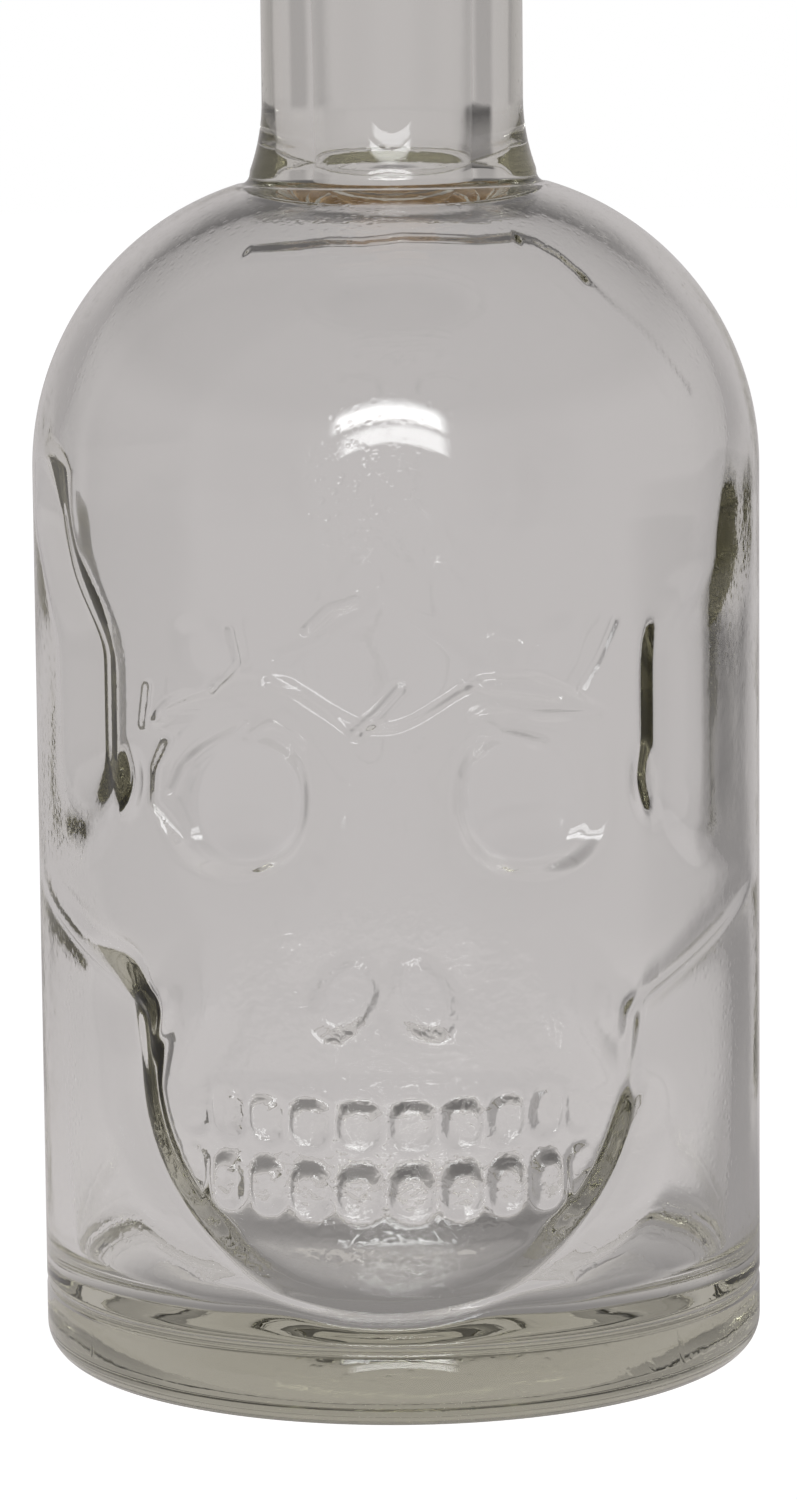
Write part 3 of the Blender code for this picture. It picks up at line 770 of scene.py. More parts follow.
class Graph:
    """Adds nodes to one shader tree and links them."""

    def __init__(self, tree: NodeTree) -> None:
        """Holds the tree that nodes are added to."""
        self.tree = tree

    def node(self, kind: str, inputs: dict | None = None, **settings: object) -> Node:
        """Adds a node.

        Args:
            kind: The node's type name.
            inputs: Values or source sockets of its inputs, by name or number.
            settings: Values of its own properties.

        Returns:
            The node.
        """
        made = self.tree.nodes.new(kind)
        for name, value in settings.items():
            setattr(made, name, value)
        for name, value in (inputs or {}).items():
            self.feed(made.inputs[name], value)
        return made

    def feed(self, socket: Socket, value: object) -> None:
        """Sets a socket to a value, or links it to a source socket."""
        if isinstance(value, Socket):
            self.tree.links.new(value, socket)
        else:
            socket.default_value = value

    def math(self, operation: str, *values: object) -> Socket:
        """The result of a Math node."""
        return self.node("ShaderNodeMath", dict(enumerate(values)), operation=operation).outputs[0]

    def times(self, first: object, *others: object) -> Socket:
        """The product of two or more values."""
        for other in others:
            first = self.math("MULTIPLY", first, other)
        return first

    def plus(self, first: object, *others: object) -> Socket:
        """The sum of two or more values."""
        for other in others:
            first = self.math("ADD", first, other)
        return first

    def rest(self, share: object, scale: float = 1.0) -> Socket:
        """What is left of 1 when scale times a share is taken away."""
        return self.math("SUBTRACT", 1.0, self.times(share, scale))

    def apart(self, value: object, middle: float) -> Socket:
        """How far a value lies from a middle, to either side."""
        return self.math("ABSOLUTE", self.math("SUBTRACT", value, middle))

    def step(self, value: object, start: float, end: float) -> Socket:
        """A smooth step of a value from 0 at start to 1 at end, also where end is the lower one.

        Args:
            value: The value.
            start: Where the step is 0.
            end: Where it is 1.

        Returns:
            The step.
        """
        low, high = (0.0, 1.0) if start < end else (1.0, 0.0)
        levels = {"From Min": min(start, end), "From Max": max(start, end), "To Min": low, "To Max": high}
        made = self.node("ShaderNodeMapRange", {"Value": value, **levels}, interpolation_type="SMOOTHSTEP")
        return made.outputs["Result"]

    def edge(self, value: object, middle: float, soft: float) -> Socket:
        """A smooth step round a middle, soft wide, which falls where soft is negative."""
        return self.step(value, middle - soft / 2, middle + soft / 2)

    def distance(self, place: Socket, centre: Triple = (0.0, 0.0, 0.0)) -> Socket:
        """How far a place is from a centre."""
        made = self.node("ShaderNodeVectorMath", {0: place, 1: centre}, operation="DISTANCE")
        return made.outputs["Value"]

    def near(self, place: Socket, centre: Triple, far: float, close: float) -> Socket:
        """A mask that rises from 0 to 1 as a place comes from far to close to a centre."""
        return self.step(self.distance(place, centre), far, close)

    def bearing(self, place: Socket, ahead: float = 1.0) -> Socket:
        """The bearing of a place from +Y, or from -Y if ahead is -1, in degrees towards +X.

        Args:
            place: The place or direction.
            ahead: 1, or -1 to turn the zero round.

        Returns:
            The bearing.
        """
        parts = self.node("ShaderNodeSeparateXYZ", {0: place}).outputs
        turn = self.math("ARCTAN2", parts[0], self.times(parts[1], ahead))
        return self.times(turn, math.degrees(1.0))

    def elevation(self, direction: Socket) -> Socket:
        """How far a direction points up, in degrees."""
        height = self.node("ShaderNodeSeparateXYZ", {0: direction}).outputs[2]
        return self.times(self.math("ARCSINE", height), math.degrees(1.0))

    def noise(self, place: Socket, scale: object, detail: float, distortion: float = 0.0) -> Socket:
        """The level of a noise texture at a place."""
        levels = {"Vector": place, "Scale": scale, "Detail": detail, "Distortion": distortion}
        return self.node("ShaderNodeTexNoise", levels).outputs["Fac"]

    def stretched(self, place: Socket, scale: Triple) -> Socket:
        """A place with each of its parts scaled."""
        return self.node("ShaderNodeMapping", {"Vector": place, "Scale": scale}).outputs[0]

    def mixed(self, blend: str, factor: Socket, first: object, second: object) -> Socket:
        """Two colours blended by a factor."""
        inputs = {"Factor": factor, "A": first, "B": second}
        return self.node("ShaderNodeMix", inputs, data_type="RGBA", blend_type=blend).outputs["Result"]

    def bump(self, height: Socket, strength: float, distance: float) -> Socket:
        """The normals that a height gives."""
        inputs = {"Height": height, "Strength": strength, "Distance": distance}
        return self.node("ShaderNodeBump", inputs).outputs[0]

    def light(self, kind: str, colour: Triple, strength: object = 1.0) -> Socket:
        """The light of an Emission or Background node."""
        return self.node(kind, {"Color": (*colour, 1.0), "Strength": strength}).outputs[0]

    def chosen(self, second_share: Socket, first: Socket, second: Socket) -> Socket:
        """Two shaders mixed."""
        return self.node("ShaderNodeMixShader", {0: second_share, 1: first, 2: second}).outputs[0]

    def group(self, tree: NodeTree, place: Socket, **levels: float) -> NodeOutputs:
        """Places a node group.

        Args:
            tree: The group's tree.
            place: The place that the group reads.
            levels: Its other inputs by name, with _ for a space.

        Returns:
            The group node's outputs.
        """
        made = self.node("ShaderNodeGroup", node_tree=tree)
        self.feed(made.inputs["Place"], place)
        for name, level in levels.items():
            made.inputs[name.replace("_", " ")].default_value = level
        return made.outputs


def cleared(holder: World | Material) -> Graph:
    """The emptied node tree of a world or a material.

    Args:
        holder: The world or material.

    Returns:
        Its graph.
    """
    holder.use_nodes = True
    holder.node_tree.nodes.clear()
    return Graph(holder.node_tree)


def new_group(name: str, inputs: dict[str, float]) -> tuple[Graph, dict, dict]:
    """A new shader node group with a place, numbers, a height and a mask.

    Args:
        name: The group's name.
        inputs: Each number's name and its usual value.

    Returns:
        The group's graph, its input sources by name and its output sockets by name.
    """
    tree = bpy.data.node_groups.new(name, "ShaderNodeTree")
    tree.interface.new_socket("Place", in_out="INPUT", socket_type="NodeSocketVector")
    for label, value in inputs.items():
        socket = tree.interface.new_socket(label, in_out="INPUT", socket_type="NodeSocketFloat")
        socket.default_value = value
    for label in ("Height", "Mask"):
        tree.interface.new_socket(label, in_out="OUTPUT", socket_type="NodeSocketFloat")
    graph = Graph(tree)
    entry = graph.node("NodeGroupInput")
    leave = graph.node("NodeGroupOutput")
    sources = {socket.name: socket for socket in entry.outputs if socket.name}
    return graph, sources, {socket.name: socket for socket in leave.inputs if socket.name}


def waviness_group(mask_low: float = 0.42, mask_high: float = 0.68) -> NodeTree:
    """Slow unevenness with fine grain on it, as a height and a mask.

    Args:
        mask_low: The level of the slow unevenness below which the mask is 0.
        mask_high: The level above which the mask is 1.

    Returns:
        The group's tree.
    """
    graph, source, leave = new_group("waviness", {"Scale": 60.0, "Fine Scale": 900.0, "Fine Share": 0.2})
    slow = graph.noise(source["Place"], source["Scale"], 1.0)
    fine = graph.noise(source["Place"], source["Fine Scale"], 2.0)
    graph.feed(leave["Height"], graph.plus(slow, graph.times(fine, source["Fine Share"])))
    graph.feed(leave["Mask"], graph.step(slow, mask_low, mask_high))
    return graph.tree


def pits_group(patch_scale: float = 45.0, roundness: float = 0.5) -> NodeTree:
    """Scattered small round pits, as a height that dips in each and a mask of where they are.

    Args:
        patch_scale: How close together the patches are that have pits.
        roundness: The power of each pit's section, less than 1 for a round floor.

    Returns:
        The group's tree.
    """
    graph, source, leave = new_group("pits", {"Scale": 400.0, "Size": 0.25, "Scatter": 0.5})
    cells = graph.node("ShaderNodeTexVoronoi", {"Vector": source["Place"], "Scale": source["Scale"]})
    inside = graph.rest(graph.math("DIVIDE", cells.outputs["Distance"], source["Size"]))
    patches = graph.noise(source["Place"], patch_scale, 1.0)
    some = graph.math("GREATER_THAN", patches, source["Scatter"])
    dip = graph.math("POWER", graph.math("MAXIMUM", inside, 0.0), roundness)
    pit = graph.times(dip, some)
    graph.feed(leave["Mask"], pit)
    graph.feed(leave["Height"], graph.times(pit, -1.0))
    return graph.tree


class Finish:
    """The base of every finish: a material with one Principled surface."""

    name: str

    def start(self) -> tuple[Material, Graph, NodeInputs, Socket]:
        """Starts the material.

        Returns:
            The material, its graph, its surface's inputs and each point's place on the object.
        """
        made = bpy.data.materials.new(self.name)
        made.use_nodes = True
        graph = Graph(made.node_tree)
        surface = made.node_tree.nodes["Principled BSDF"]
        return made, graph, surface.inputs, graph.node("ShaderNodeTexCoord").outputs["Object"]


@dataclass(frozen=True)
class GlassFinish(Finish):
    """Clear flint glass: fire polished, a little wavy, with a faint olive tint in its depth.

    It has small pits, deeper at the top of the brow, and chill wrinkles round the mouth.
    """

    waviness: NodeTree
    pits: NodeTree
    name: str = "clear_glass"
    refraction: float = 1.5
    tint: Triple = (0.26, 0.24, 0.0)
    density: float = 9.8
    shadow: float = 0.90
    roughness: float = 0.012
    relief: float = 0.16 * MM
    pit_share: float = 0.03
    brow_pit_share: float = 0.35
    brow_pits: Triple = (-3.0 * MM, -41.6 * MM, 103.5 * MM)
    brow_pits_reach: Pair = (10.5 * MM, 4.0 * MM)
    mouth: Triple = (0.0, -42.0 * MM, 41.0 * MM)
    mouth_reach: Pair = (28.0 * MM, 17.0 * MM)

    def height(self, graph: Graph, place: Socket, waves: Socket) -> Socket:
        """The small relief of the glass.

        Args:
            graph: The material's graph.
            place: The place on the object.
            waves: The height of the slow waves.

        Returns:
            The height of waves, pits and wrinkles together.
        """
        pits = graph.group(self.pits, place, Scale=800.0, Size=0.30, Scatter=0.48)
        pitted = graph.near(place, self.brow_pits, *self.brow_pits_reach)
        pit_share = graph.plus(graph.times(pitted, self.brow_pit_share), self.pit_share)
        folds = graph.noise(place, 620.0, 1.0, distortion=0.8)
        wrinkles = graph.times(folds, graph.near(place, self.mouth, *self.mouth_reach))
        return graph.plus(waves, graph.times(pit_share, pits["Height"]), wrinkles)

    def build(self) -> Material:
        """Makes the glass.

        Returns:
            The material.
        """
        made, graph, surface, place = self.start()
        surface["Base Color"].default_value = (1.0, 1.0, 1.0, 1.0)
        surface["Transmission Weight"].default_value = 1.0
        surface["IOR"].default_value = self.refraction
        waves = graph.group(self.waviness, place, Scale=55.0, Fine_Scale=420.0, Fine_Share=0.05)
        graph.feed(surface["Roughness"], graph.times(waves["Mask"], self.roughness))
        height = self.height(graph, place, waves["Height"])
        graph.feed(surface["Normal"], graph.bump(height, 1.0, self.relief))
        colour = {"Color": (*self.tint, 1.0), "Density": self.density}
        depth = graph.node("ShaderNodeVolumeAbsorption", colour).outputs[0]
        clear = graph.node("ShaderNodeBsdfTransparent", {"Color": (*(self.shadow,) * 3, 1.0)}).outputs[0]
        shadow_ray = graph.node("ShaderNodeLightPath").outputs["Is Shadow Ray"]
        nodes = made.node_tree.nodes
        body = nodes["Principled BSDF"].outputs[0]
        leave = nodes["Material Output"].inputs
        graph.feed(leave["Surface"], graph.chosen(shadow_ray, body, clear))
        graph.feed(leave["Volume"], depth)
        return made


@dataclass(frozen=True)
class PlantFinish(Finish):
    """What wood and cork share: a dark and a pale tone mixed by a grain, and dark pits in it.

    roughness is its least value and what the grain's mask adds, and relief is the bump's strength
    and distance.
    """

    waviness: NodeTree
    pits: NodeTree
    name: str
    pale: Triple
    dark: Triple
    pit_colour: Triple
    pit_share: float
    pit_height: float
    roughness: Pair
    relief: Pair

    def dress(
        self,
        graph: Graph,
        surface: NodeInputs,
        tone: Socket,
        grain: NodeOutputs,
        pits: NodeOutputs,
    ) -> None:
        """Gives a surface its colour, roughness and small relief.

        Args:
            graph: The material's graph.
            surface: The Principled surface's inputs.
            tone: How pale each place is, from 0 to 1.
            grain: The outputs of the grain's waviness.
            pits: The outputs of the pits.
        """
        colour = graph.mixed("MIX", tone, (*self.dark, 1.0), (*self.pale, 1.0))
        share = graph.times(pits["Mask"], self.pit_share)
        graph.feed(surface["Base Color"], graph.mixed("MULTIPLY", share, colour, (*self.pit_colour, 1.0)))
        least, spread = self.roughness
        graph.feed(surface["Roughness"], graph.plus(graph.times(grain["Mask"], spread), least))
        height = graph.plus(grain["Height"], graph.times(pits["Height"], self.pit_height))
        graph.feed(surface["Normal"], graph.bump(height, *self.relief))


@dataclass(frozen=True)
class WoodFinish(PlantFinish):
    """Pale turned beech, waxed: rings and flecks along the grain."""

    name: str = "turned_wood"
    pale: Triple = (0.56, 0.37, 0.20)
    dark: Triple = (0.36, 0.20, 0.09)
    pit_colour: Triple = (0.35, 0.24, 0.15)
    pit_share: float = 0.55
    pit_height: float = 0.6
    roughness: Pair = (0.42, 0.18)
    relief: Pair = (0.6, 0.1 * MM)
    stretch: Triple = (1.0, 0.12, 1.0)
    ring_share: float = 0.55
    grain_share: float = 0.5
    tones: Pair = (0.15, 1.0)
    wax: float = 0.15
    wax_roughness: float = 0.3

    def build(self) -> Material:
        """Makes the wood.

        Returns:
            The material.
        """
        made, graph, surface, place = self.start()
        place = graph.stretched(place, self.stretch)
        grain = graph.group(self.waviness, place, Scale=260.0, Fine_Scale=2600.0, Fine_Share=0.35)
        pores = graph.group(self.pits, place, Scale=2200.0, Size=0.22, Scatter=0.4)
        levels = {"Vector": place, "Scale": 55.0, "Distortion": 2.6, "Detail": 2.0}
        rings = graph.node("ShaderNodeTexWave", levels, wave_type="BANDS", bands_direction="X")
        ringed = graph.times(rings.outputs["Fac"], self.ring_share)
        tone = graph.plus(ringed, graph.times(grain["Height"], self.grain_share))
        self.dress(graph, surface, graph.step(tone, *self.tones), grain, pores)
        surface["Coat Weight"].default_value = self.wax
        surface["Coat Roughness"].default_value = self.wax_roughness
        return made


@dataclass(frozen=True)
class CorkFinish(PlantFinish):
    """Natural cork: warm tan with dark lenticels, matt and pitted."""

    name: str = "natural_cork"
    pale: Triple = (0.60, 0.41, 0.25)
    dark: Triple = (0.40, 0.24, 0.13)
    pit_colour: Triple = (0.30, 0.20, 0.14)
    pit_share: float = 0.8
    pit_height: float = 1.5
    roughness: Pair = (0.78, 0.12)
    relief: Pair = (0.8, 0.2 * MM)
    squash: Triple = (1.0, 1.0, 0.35)
    tones: Pair = (0.40, 0.95)

    def build(self) -> Material:
        """Makes the cork.

        Returns:
            The material.
        """
        made, graph, surface, place = self.start()
        mottle = graph.group(self.waviness, place, Scale=420.0, Fine_Scale=2400.0, Fine_Share=0.4)
        squashed = graph.stretched(place, self.squash)
        pores = graph.group(self.pits, squashed, Scale=700.0, Size=0.32, Scatter=0.46)
        self.dress(graph, surface, graph.step(mottle["Height"], *self.tones), mottle, pores)
        return made


@dataclass(frozen=True)
class Steps:
    """How many steps each bend of the bottle's profiles has."""

    push_up: int = 16
    heel: int = 12
    parting: int = 8
    neck_root: int = 8
    flare: int = 11
    ramp: int = 5
    mouth_edge: int = 6
    floor: int = 20
    floor_corner: int = 14
    bore_root: int = 10


@dataclass(frozen=True)
class GlassBottle:
    """The glass bottle: its outer form with the skull pressed in, and its cavity."""

    radius: float
    height: float
    relief: SkullRelief = SkullRelief()
    shoulder_start: float = 104.0 * MM
    shoulder_radius: float = 34.0 * MM
    neck_radius: float = 15.0 * MM
    neck_flare: float = 1.45 * MM
    neck_flare_height: float = 8.0 * MM
    neck_root_fillet: float = 1.6 * MM
    mouth_band_proud: float = 0.8 * MM
    mouth_band_height: float = 12.0 * MM
    mouth_band_edge: float = 1.0 * MM
    mouth_band_ramp: float = 1.2 * MM
    heel_radius: float = 4.0 * MM
    bearing_inner_radius: float = 30.0 * MM
    push_up_height: float = 0.8 * MM
    parting_height: float = 9.0 * MM
    parting_depth: float = 0.3 * MM
    parting_half_width: float = 0.7 * MM
    body_wall: float = 3.2 * MM
    shoulder_wall: float = 3.4 * MM
    floor_thickness: float = 10.0 * MM
    floor_corner_radius: float = 5.0 * MM
    floor_crown: float = 0.6 * MM
    bore_radius: float = 9.4 * MM
    bore_draft: float = 0.6 * MM
    bore_root_fillet: float = 4.0 * MM
    mouth_chamfer: float = 0.6 * MM
    cavity_shoulder_start: float = 0.04
    glass_softness: float = 0.45 * MM
    fine_row: float = 0.5 * MM
    finest_row: float = 0.33 * MM
    fine_low: float = 60.0 * MM
    fine_high: float = 95.0 * MM
    plain_row: float = 1.0 * MM
    cavity_row: float = 1.0 * MM
    front_angle: float = math.radians(46.0)
    side_angle: float = math.radians(95.0)
    front_column: float = math.radians(0.45)
    side_column: float = math.radians(1.0)
    back_column: float = math.radians(2.5)
    steps: Steps = Steps()

    def shoulder_height(self, radius: float, inset: float = 0.0) -> float:
        """Height of the shoulder's arc at a radius, on the outer surface or inset below it."""
        centre = self.radius - self.shoulder_radius
        return self.shoulder_start + math.sqrt((self.shoulder_radius - inset) ** 2 - (radius - centre) ** 2)

    def foot_profile(self) -> Profile:
        """The outer profile's foot, from the middle of the underside to above the parting line.

        Returns:
            Its points.
        """
        push_up_bend = (self.bearing_inner_radius / 2, self.push_up_height)
        bearing_start = (self.bearing_inner_radius, 0.0)
        push_up = bend((0.0, self.push_up_height), push_up_bend, bearing_start, self.steps.push_up)
        foot_radius = self.radius - self.heel_radius
        bearing = straight(bearing_start, (foot_radius, 0.0), self.plain_row)
        heel_centre = (foot_radius, self.heel_radius)
        heel = arc(heel_centre, self.heel_radius, -math.pi / 2, 0.0, self.steps.heel)
        parting = []
        for angle in np.linspace(-math.pi / 2, math.pi / 2, self.steps.parting + 1):
            height = self.parting_height + self.parting_half_width * math.sin(angle)
            parting.append((self.radius - self.parting_depth * math.cos(angle) ** 2, height))
        return joined(push_up, bearing, heel, parting)

    def shoulder_profile(self) -> Profile:
        """The outer profile's shoulder, the fillet at the neck's root and the neck's flare.

        Returns:
            Its points.
        """
        flare_radius = self.neck_radius + self.neck_flare
        root_radius = flare_radius + self.neck_root_fillet
        root_height = self.shoulder_height(root_radius)
        centre = (self.radius - self.shoulder_radius, self.shoulder_start)
        end_angle = math.acos((root_radius - centre[0]) / self.shoulder_radius)
        steps = math.ceil(self.shoulder_radius * end_angle / self.fine_row)
        shoulder = arc(centre, self.shoulder_radius, 0.0, end_angle, steps)
        foot = (flare_radius, root_height + self.neck_root_fillet)
        fillet = bend((root_radius, root_height), (flare_radius, root_height), foot, self.steps.neck_root)
        flare = [
            (self.neck_radius + self.neck_flare * (1 - t) ** 2, foot[1] + self.neck_flare_height * t)
            for t in np.linspace(0.0, 1.0, self.steps.flare + 1)
        ]
        return joined(shoulder, fillet, flare)

    def mouth_profile(self) -> Profile:
        """The outer profile's band at the mouth, up to its inner rim.

        Returns:
            Its points.
        """
        foot = self.height - self.mouth_band_height
        ramp = [
            (self.neck_radius + self.mouth_band_proud * float(smooth(t)), foot + self.mouth_band_ramp * t)
            for t in np.linspace(0.0, 1.0, self.steps.ramp + 1)
        ]
        edge_radius = self.neck_radius + self.mouth_band_proud - self.mouth_band_edge
        centre = (edge_radius, self.height - self.mouth_band_edge)
        return joined(ramp, arc(centre, self.mouth_band_edge, 0.0, math.pi / 2, self.steps.mouth_edge))

    def outer_profile(self) -> Profile:
        """The outer profile, from the middle of the underside to the mouth's inner rim.

        Returns:
            Its points.
        """
        foot, shoulder, mouth = self.foot_profile(), self.shoulder_profile(), self.mouth_profile()
        heights = (foot[-1][1], self.fine_low, self.fine_high, self.shoulder_start)
        rows = (self.fine_row, self.finest_row, self.fine_row)
        wall = [
            straight((self.radius, low), (self.radius, high), row)
            for low, high, row in zip(heights, heights[1:], rows)
        ]
        neck = straight(shoulder[-1], mouth[0], self.plain_row)
        return joined(foot, *wall, shoulder, neck, mouth)

    def bore_radius_at(self, height: float) -> float:
        """Radius of the neck's bore, widest at the mouth."""
        share = (self.height - height) / (self.height - self.shoulder_start)
        return self.bore_radius - self.bore_draft * share

    def cavity_profile(self) -> Profile:
        """The cavity's profile, from the mouth's chamfer down to the middle of the floor.

        Returns:
            Its points.
        """
        wall_radius = self.radius - self.body_wall
        corner = (wall_radius - self.floor_corner_radius, self.floor_thickness + self.floor_corner_radius)
        crown = self.floor_thickness + self.floor_crown
        floor_end = (corner[0], self.floor_thickness)
        floor = bend((0.0, crown), (corner[0] / 2, crown), floor_end, self.steps.floor)
        floor_corner = arc(corner, self.floor_corner_radius, -math.pi / 2, 0.0, self.steps.floor_corner)
        wall = straight((wall_radius, corner[1]), (wall_radius, self.shoulder_start), self.cavity_row)
        centre = self.radius - self.shoulder_radius
        reach = self.shoulder_radius - self.shoulder_wall
        wall_top = self.shoulder_start - 2 * self.cavity_row
        root_radius = self.bore_radius_at(self.shoulder_start) + self.bore_root_fillet
        root_height = self.shoulder_height(root_radius, self.shoulder_wall)
        end_angle = math.acos((root_radius - centre) / reach)
        steps = math.ceil(reach * end_angle / self.cavity_row)
        start_angle = self.cavity_shoulder_start
        shoulder = arc((centre, self.shoulder_start), reach, start_angle, end_angle, steps)
        foot_height = root_height + self.bore_root_fillet
        bore_foot = (self.bore_radius_at(foot_height), foot_height)
        root_corner = (bore_foot[0], root_height)
        fillet = bend((root_radius, root_height), root_corner, bore_foot, self.steps.bore_root)
        chamfer_foot = self.height - self.mouth_chamfer
        bore = straight(bore_foot, (self.bore_radius_at(chamfer_foot), chamfer_foot), self.cavity_row)
        mouth = [(self.bore_radius + self.mouth_chamfer, self.height)]
        wall = [point for point in wall if point[1] < wall_top]
        return joined(floor, floor_corner, wall, shoulder, fillet, bore, mouth)[::-1]

    def columns(self) -> Array:
        """Angles of the mesh's columns right round the bottle, close together on the face.

        Returns:
            The angles, from behind the bottle round to there again.
        """
        front = np.arange(0.0, self.front_angle, self.front_column)
        side_count = math.ceil((self.side_angle - self.front_angle) / self.side_column) + 1
        side = np.linspace(self.front_angle, self.side_angle, side_count)
        back_count = math.ceil((math.pi - self.side_angle) / self.back_column) + 1
        back = np.linspace(self.side_angle, math.pi, back_count)
        half = np.concatenate([front, side, back[1:]])
        return np.concatenate([-half[-2:0:-1], half])

    def pressed_grid(self, profile: Profile, angles: Array, inner: bool) -> Array:
        """Points of a grid wrapped round the axis to a profile, pressed in by the skull.

        Args:
            profile: The profile's points.
            angles: The angle of each column.
            inner: True for the cavity's surface, which follows the skull softly.

        Returns:
            The points, one row of x, y, z for each.
        """
        rows = np.array(profile)
        along = np.gradient(rows, axis=0)
        lengths = np.maximum(np.hypot(along[:, 0], along[:, 1]), WELD_DISTANCE)
        outward = np.stack([along[:, 1], -along[:, 0]], axis=1) / lengths[:, None]
        at = Places(*np.meshgrid(self.radius * angles, rows[:, 1]), self.glass_softness)
        if inner:
            outward = -outward
            depth = ReliefSheet(self.relief).inner_depth(at)
        else:
            depth = self.relief.depth(at)
        depth = depth * np.clip(outward[:, 0], 0.0, 1.0)[:, None]
        radii, heights = (rows[:, i, None] - outward[:, i, None] * depth for i in (0, 1))
        points = (radii * np.sin(angles), -radii * np.cos(angles), heights)
        return np.stack(points, axis=-1).reshape(-1, 3)

    def build(self, finish: GlassFinish) -> Object:
        """Builds the bottle's mesh and dresses it.

        Args:
            finish: The glass.

        Returns:
            The bottle.
        """
        angles = self.columns()
        outer = self.outer_profile()
        cavity = self.cavity_profile()
        grids = (self.pressed_grid(outer, angles, False), self.pressed_grid(cavity, angles, True))
        quads = wrapped_quads(len(outer) + len(cavity), len(angles))
        piece = fresh_mesh("glass_bottle", np.concatenate(grids), quads)
        piece.data.materials.append(finish.build())
        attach(piece, Body.BOTTLE.value)
        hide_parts("bottle")
        return piece


@dataclass(frozen=True)
class Stopper:
    """The bar top stopper: a turned wooden head with a cork shank glued up into it.

    Waves that run round a turned form, wave_rise radians more for each metre up, make it uneven.
    """

    head_radius: float
    head_top: float
    head_foot: float
    shank_radius: float
    shank_foot: float
    shank_top: float
    recess_gap: float = 0.3 * MM
    head_chamfer: float = 1.2 * MM
    crown: float = 0.25 * MM
    groove_depth: float = 0.25 * MM
    groove_half_width: float = 0.5 * MM
    shank_taper: float = 0.2 * MM
    shank_chamfer: float = 1.0 * MM
    columns: int = 160
    row: float = 0.4 * MM
    edge_steps: int = 8
    crown_steps: int = 10
    shank_steps: int = 6
    waves: int = 4
    wave_rise: float = 180.0
    sharp_angle: float = math.radians(50.0)
    head_seed: int = 3
    shank_seed: int = 5
    shank_stray: float = 0.06 * MM

    def turned(self, name: str, profile: Profile, unevenness: float, seed: int) -> Object:
        """A turned form with a little unevenness.

        Args:
            name: The object's name.
            profile: Points from the axis at the foot, up the outer side, to the axis at the top.
            unevenness: How far the surface may stray, in metres.
            seed: Where the unevenness starts from.

        Returns:
            The object.
        """
        radii, heights = np.array(profile).T[:, :, None]
        angles = np.linspace(0.0, 2 * math.pi, self.columns, endpoint=False)
        phases = np.random.default_rng(seed).uniform(0.0, 2 * math.pi, (self.waves, 2))
        stray = np.zeros((len(profile), self.columns))
        for turn, (first, second) in enumerate(phases, start=2):
            stray += np.sin(turn * angles + first + self.wave_rise * heights * turn + second) / self.waves
        radii = np.maximum(radii + unevenness * stray * (radii > WELD_DISTANCE), 0.0)
        sides = (radii * np.cos(angles), radii * np.sin(angles), heights + np.zeros_like(stray))
        points = np.stack(sides, axis=-1).reshape(-1, 3)
        piece = fresh_mesh(name, points, wrapped_quads(len(profile), self.columns))
        piece.data.set_sharp_from_angle(angle=self.sharp_angle)
        return piece

    def head_profile(self) -> Profile:
        """The wooden head's profile, with the recess for the shank in its underside.

        Returns:
            Its points.
        """
        recess = self.shank_radius + self.recess_gap
        recess_top = self.shank_top + self.recess_gap
        recess_run = [(0.0, recess_top), (recess, recess_top), (recess, self.head_foot)]
        chamfer = self.head_chamfer
        inset = self.head_radius - chamfer
        foot_edge = arc((inset, self.head_foot + chamfer), chamfer, -math.pi / 2, 0.0, self.edge_steps)
        side_foot = (self.head_radius, self.head_foot + chamfer)
        side = straight(side_foot, (self.head_radius, self.head_top - chamfer), self.row / 2)
        middle = (self.head_foot + self.head_top) / 2
        edge_height = self.head_top - self.crown - chamfer
        cut = []
        for radius, height in side:
            if height < edge_height:
                groove = float(smooth(1.0 - abs(height - middle) / self.groove_half_width))
                cut.append((radius - self.groove_depth * groove, height))
        top_edge = arc((inset, edge_height), chamfer, 0.0, math.pi / 2, self.edge_steps)
        crown_corner = (self.head_radius / 2, self.head_top)
        crown_start = (inset, self.head_top - self.crown)
        crown = bend(crown_start, crown_corner, (0.0, self.head_top), self.crown_steps)
        return joined(recess_run, foot_edge, cut, top_edge, crown)

    def shank_profile(self) -> Profile:
        """The cork shank's profile.

        Returns:
            Its points.
        """
        foot, chamfer = self.shank_foot, self.shank_chamfer
        radius = self.shank_radius - self.shank_taper
        edge = bend((radius - chamfer, foot), (radius, foot), (radius, foot + chamfer), self.shank_steps)
        side = straight(edge[-1], (self.shank_radius, self.shank_top), self.row)
        return joined([(0.0, foot)], edge, side, [(0.0, self.shank_top)])

    def build(self, wood: WoodFinish, cork: CorkFinish) -> list[Object]:
        """Builds the stopper's two pieces and dresses them.

        Args:
            wood: The head's finish.
            cork: The shank's finish.

        Returns:
            The head and the shank.
        """
        head = self.turned("turned_head", self.head_profile(), 0.0, self.head_seed)
        shank = self.turned("cork_shank", self.shank_profile(), self.shank_stray, self.shank_seed)
        parts = ((head, wood, "stopper_head", Slot.WOOD), (shank, cork, "stopper_cork", Slot.CORK))
        for piece, finish, node, slot in parts:
            piece.data.materials.append(finish.build())
            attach(piece, Body.STOPPER.value)
            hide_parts(node)
        return [head, shank]


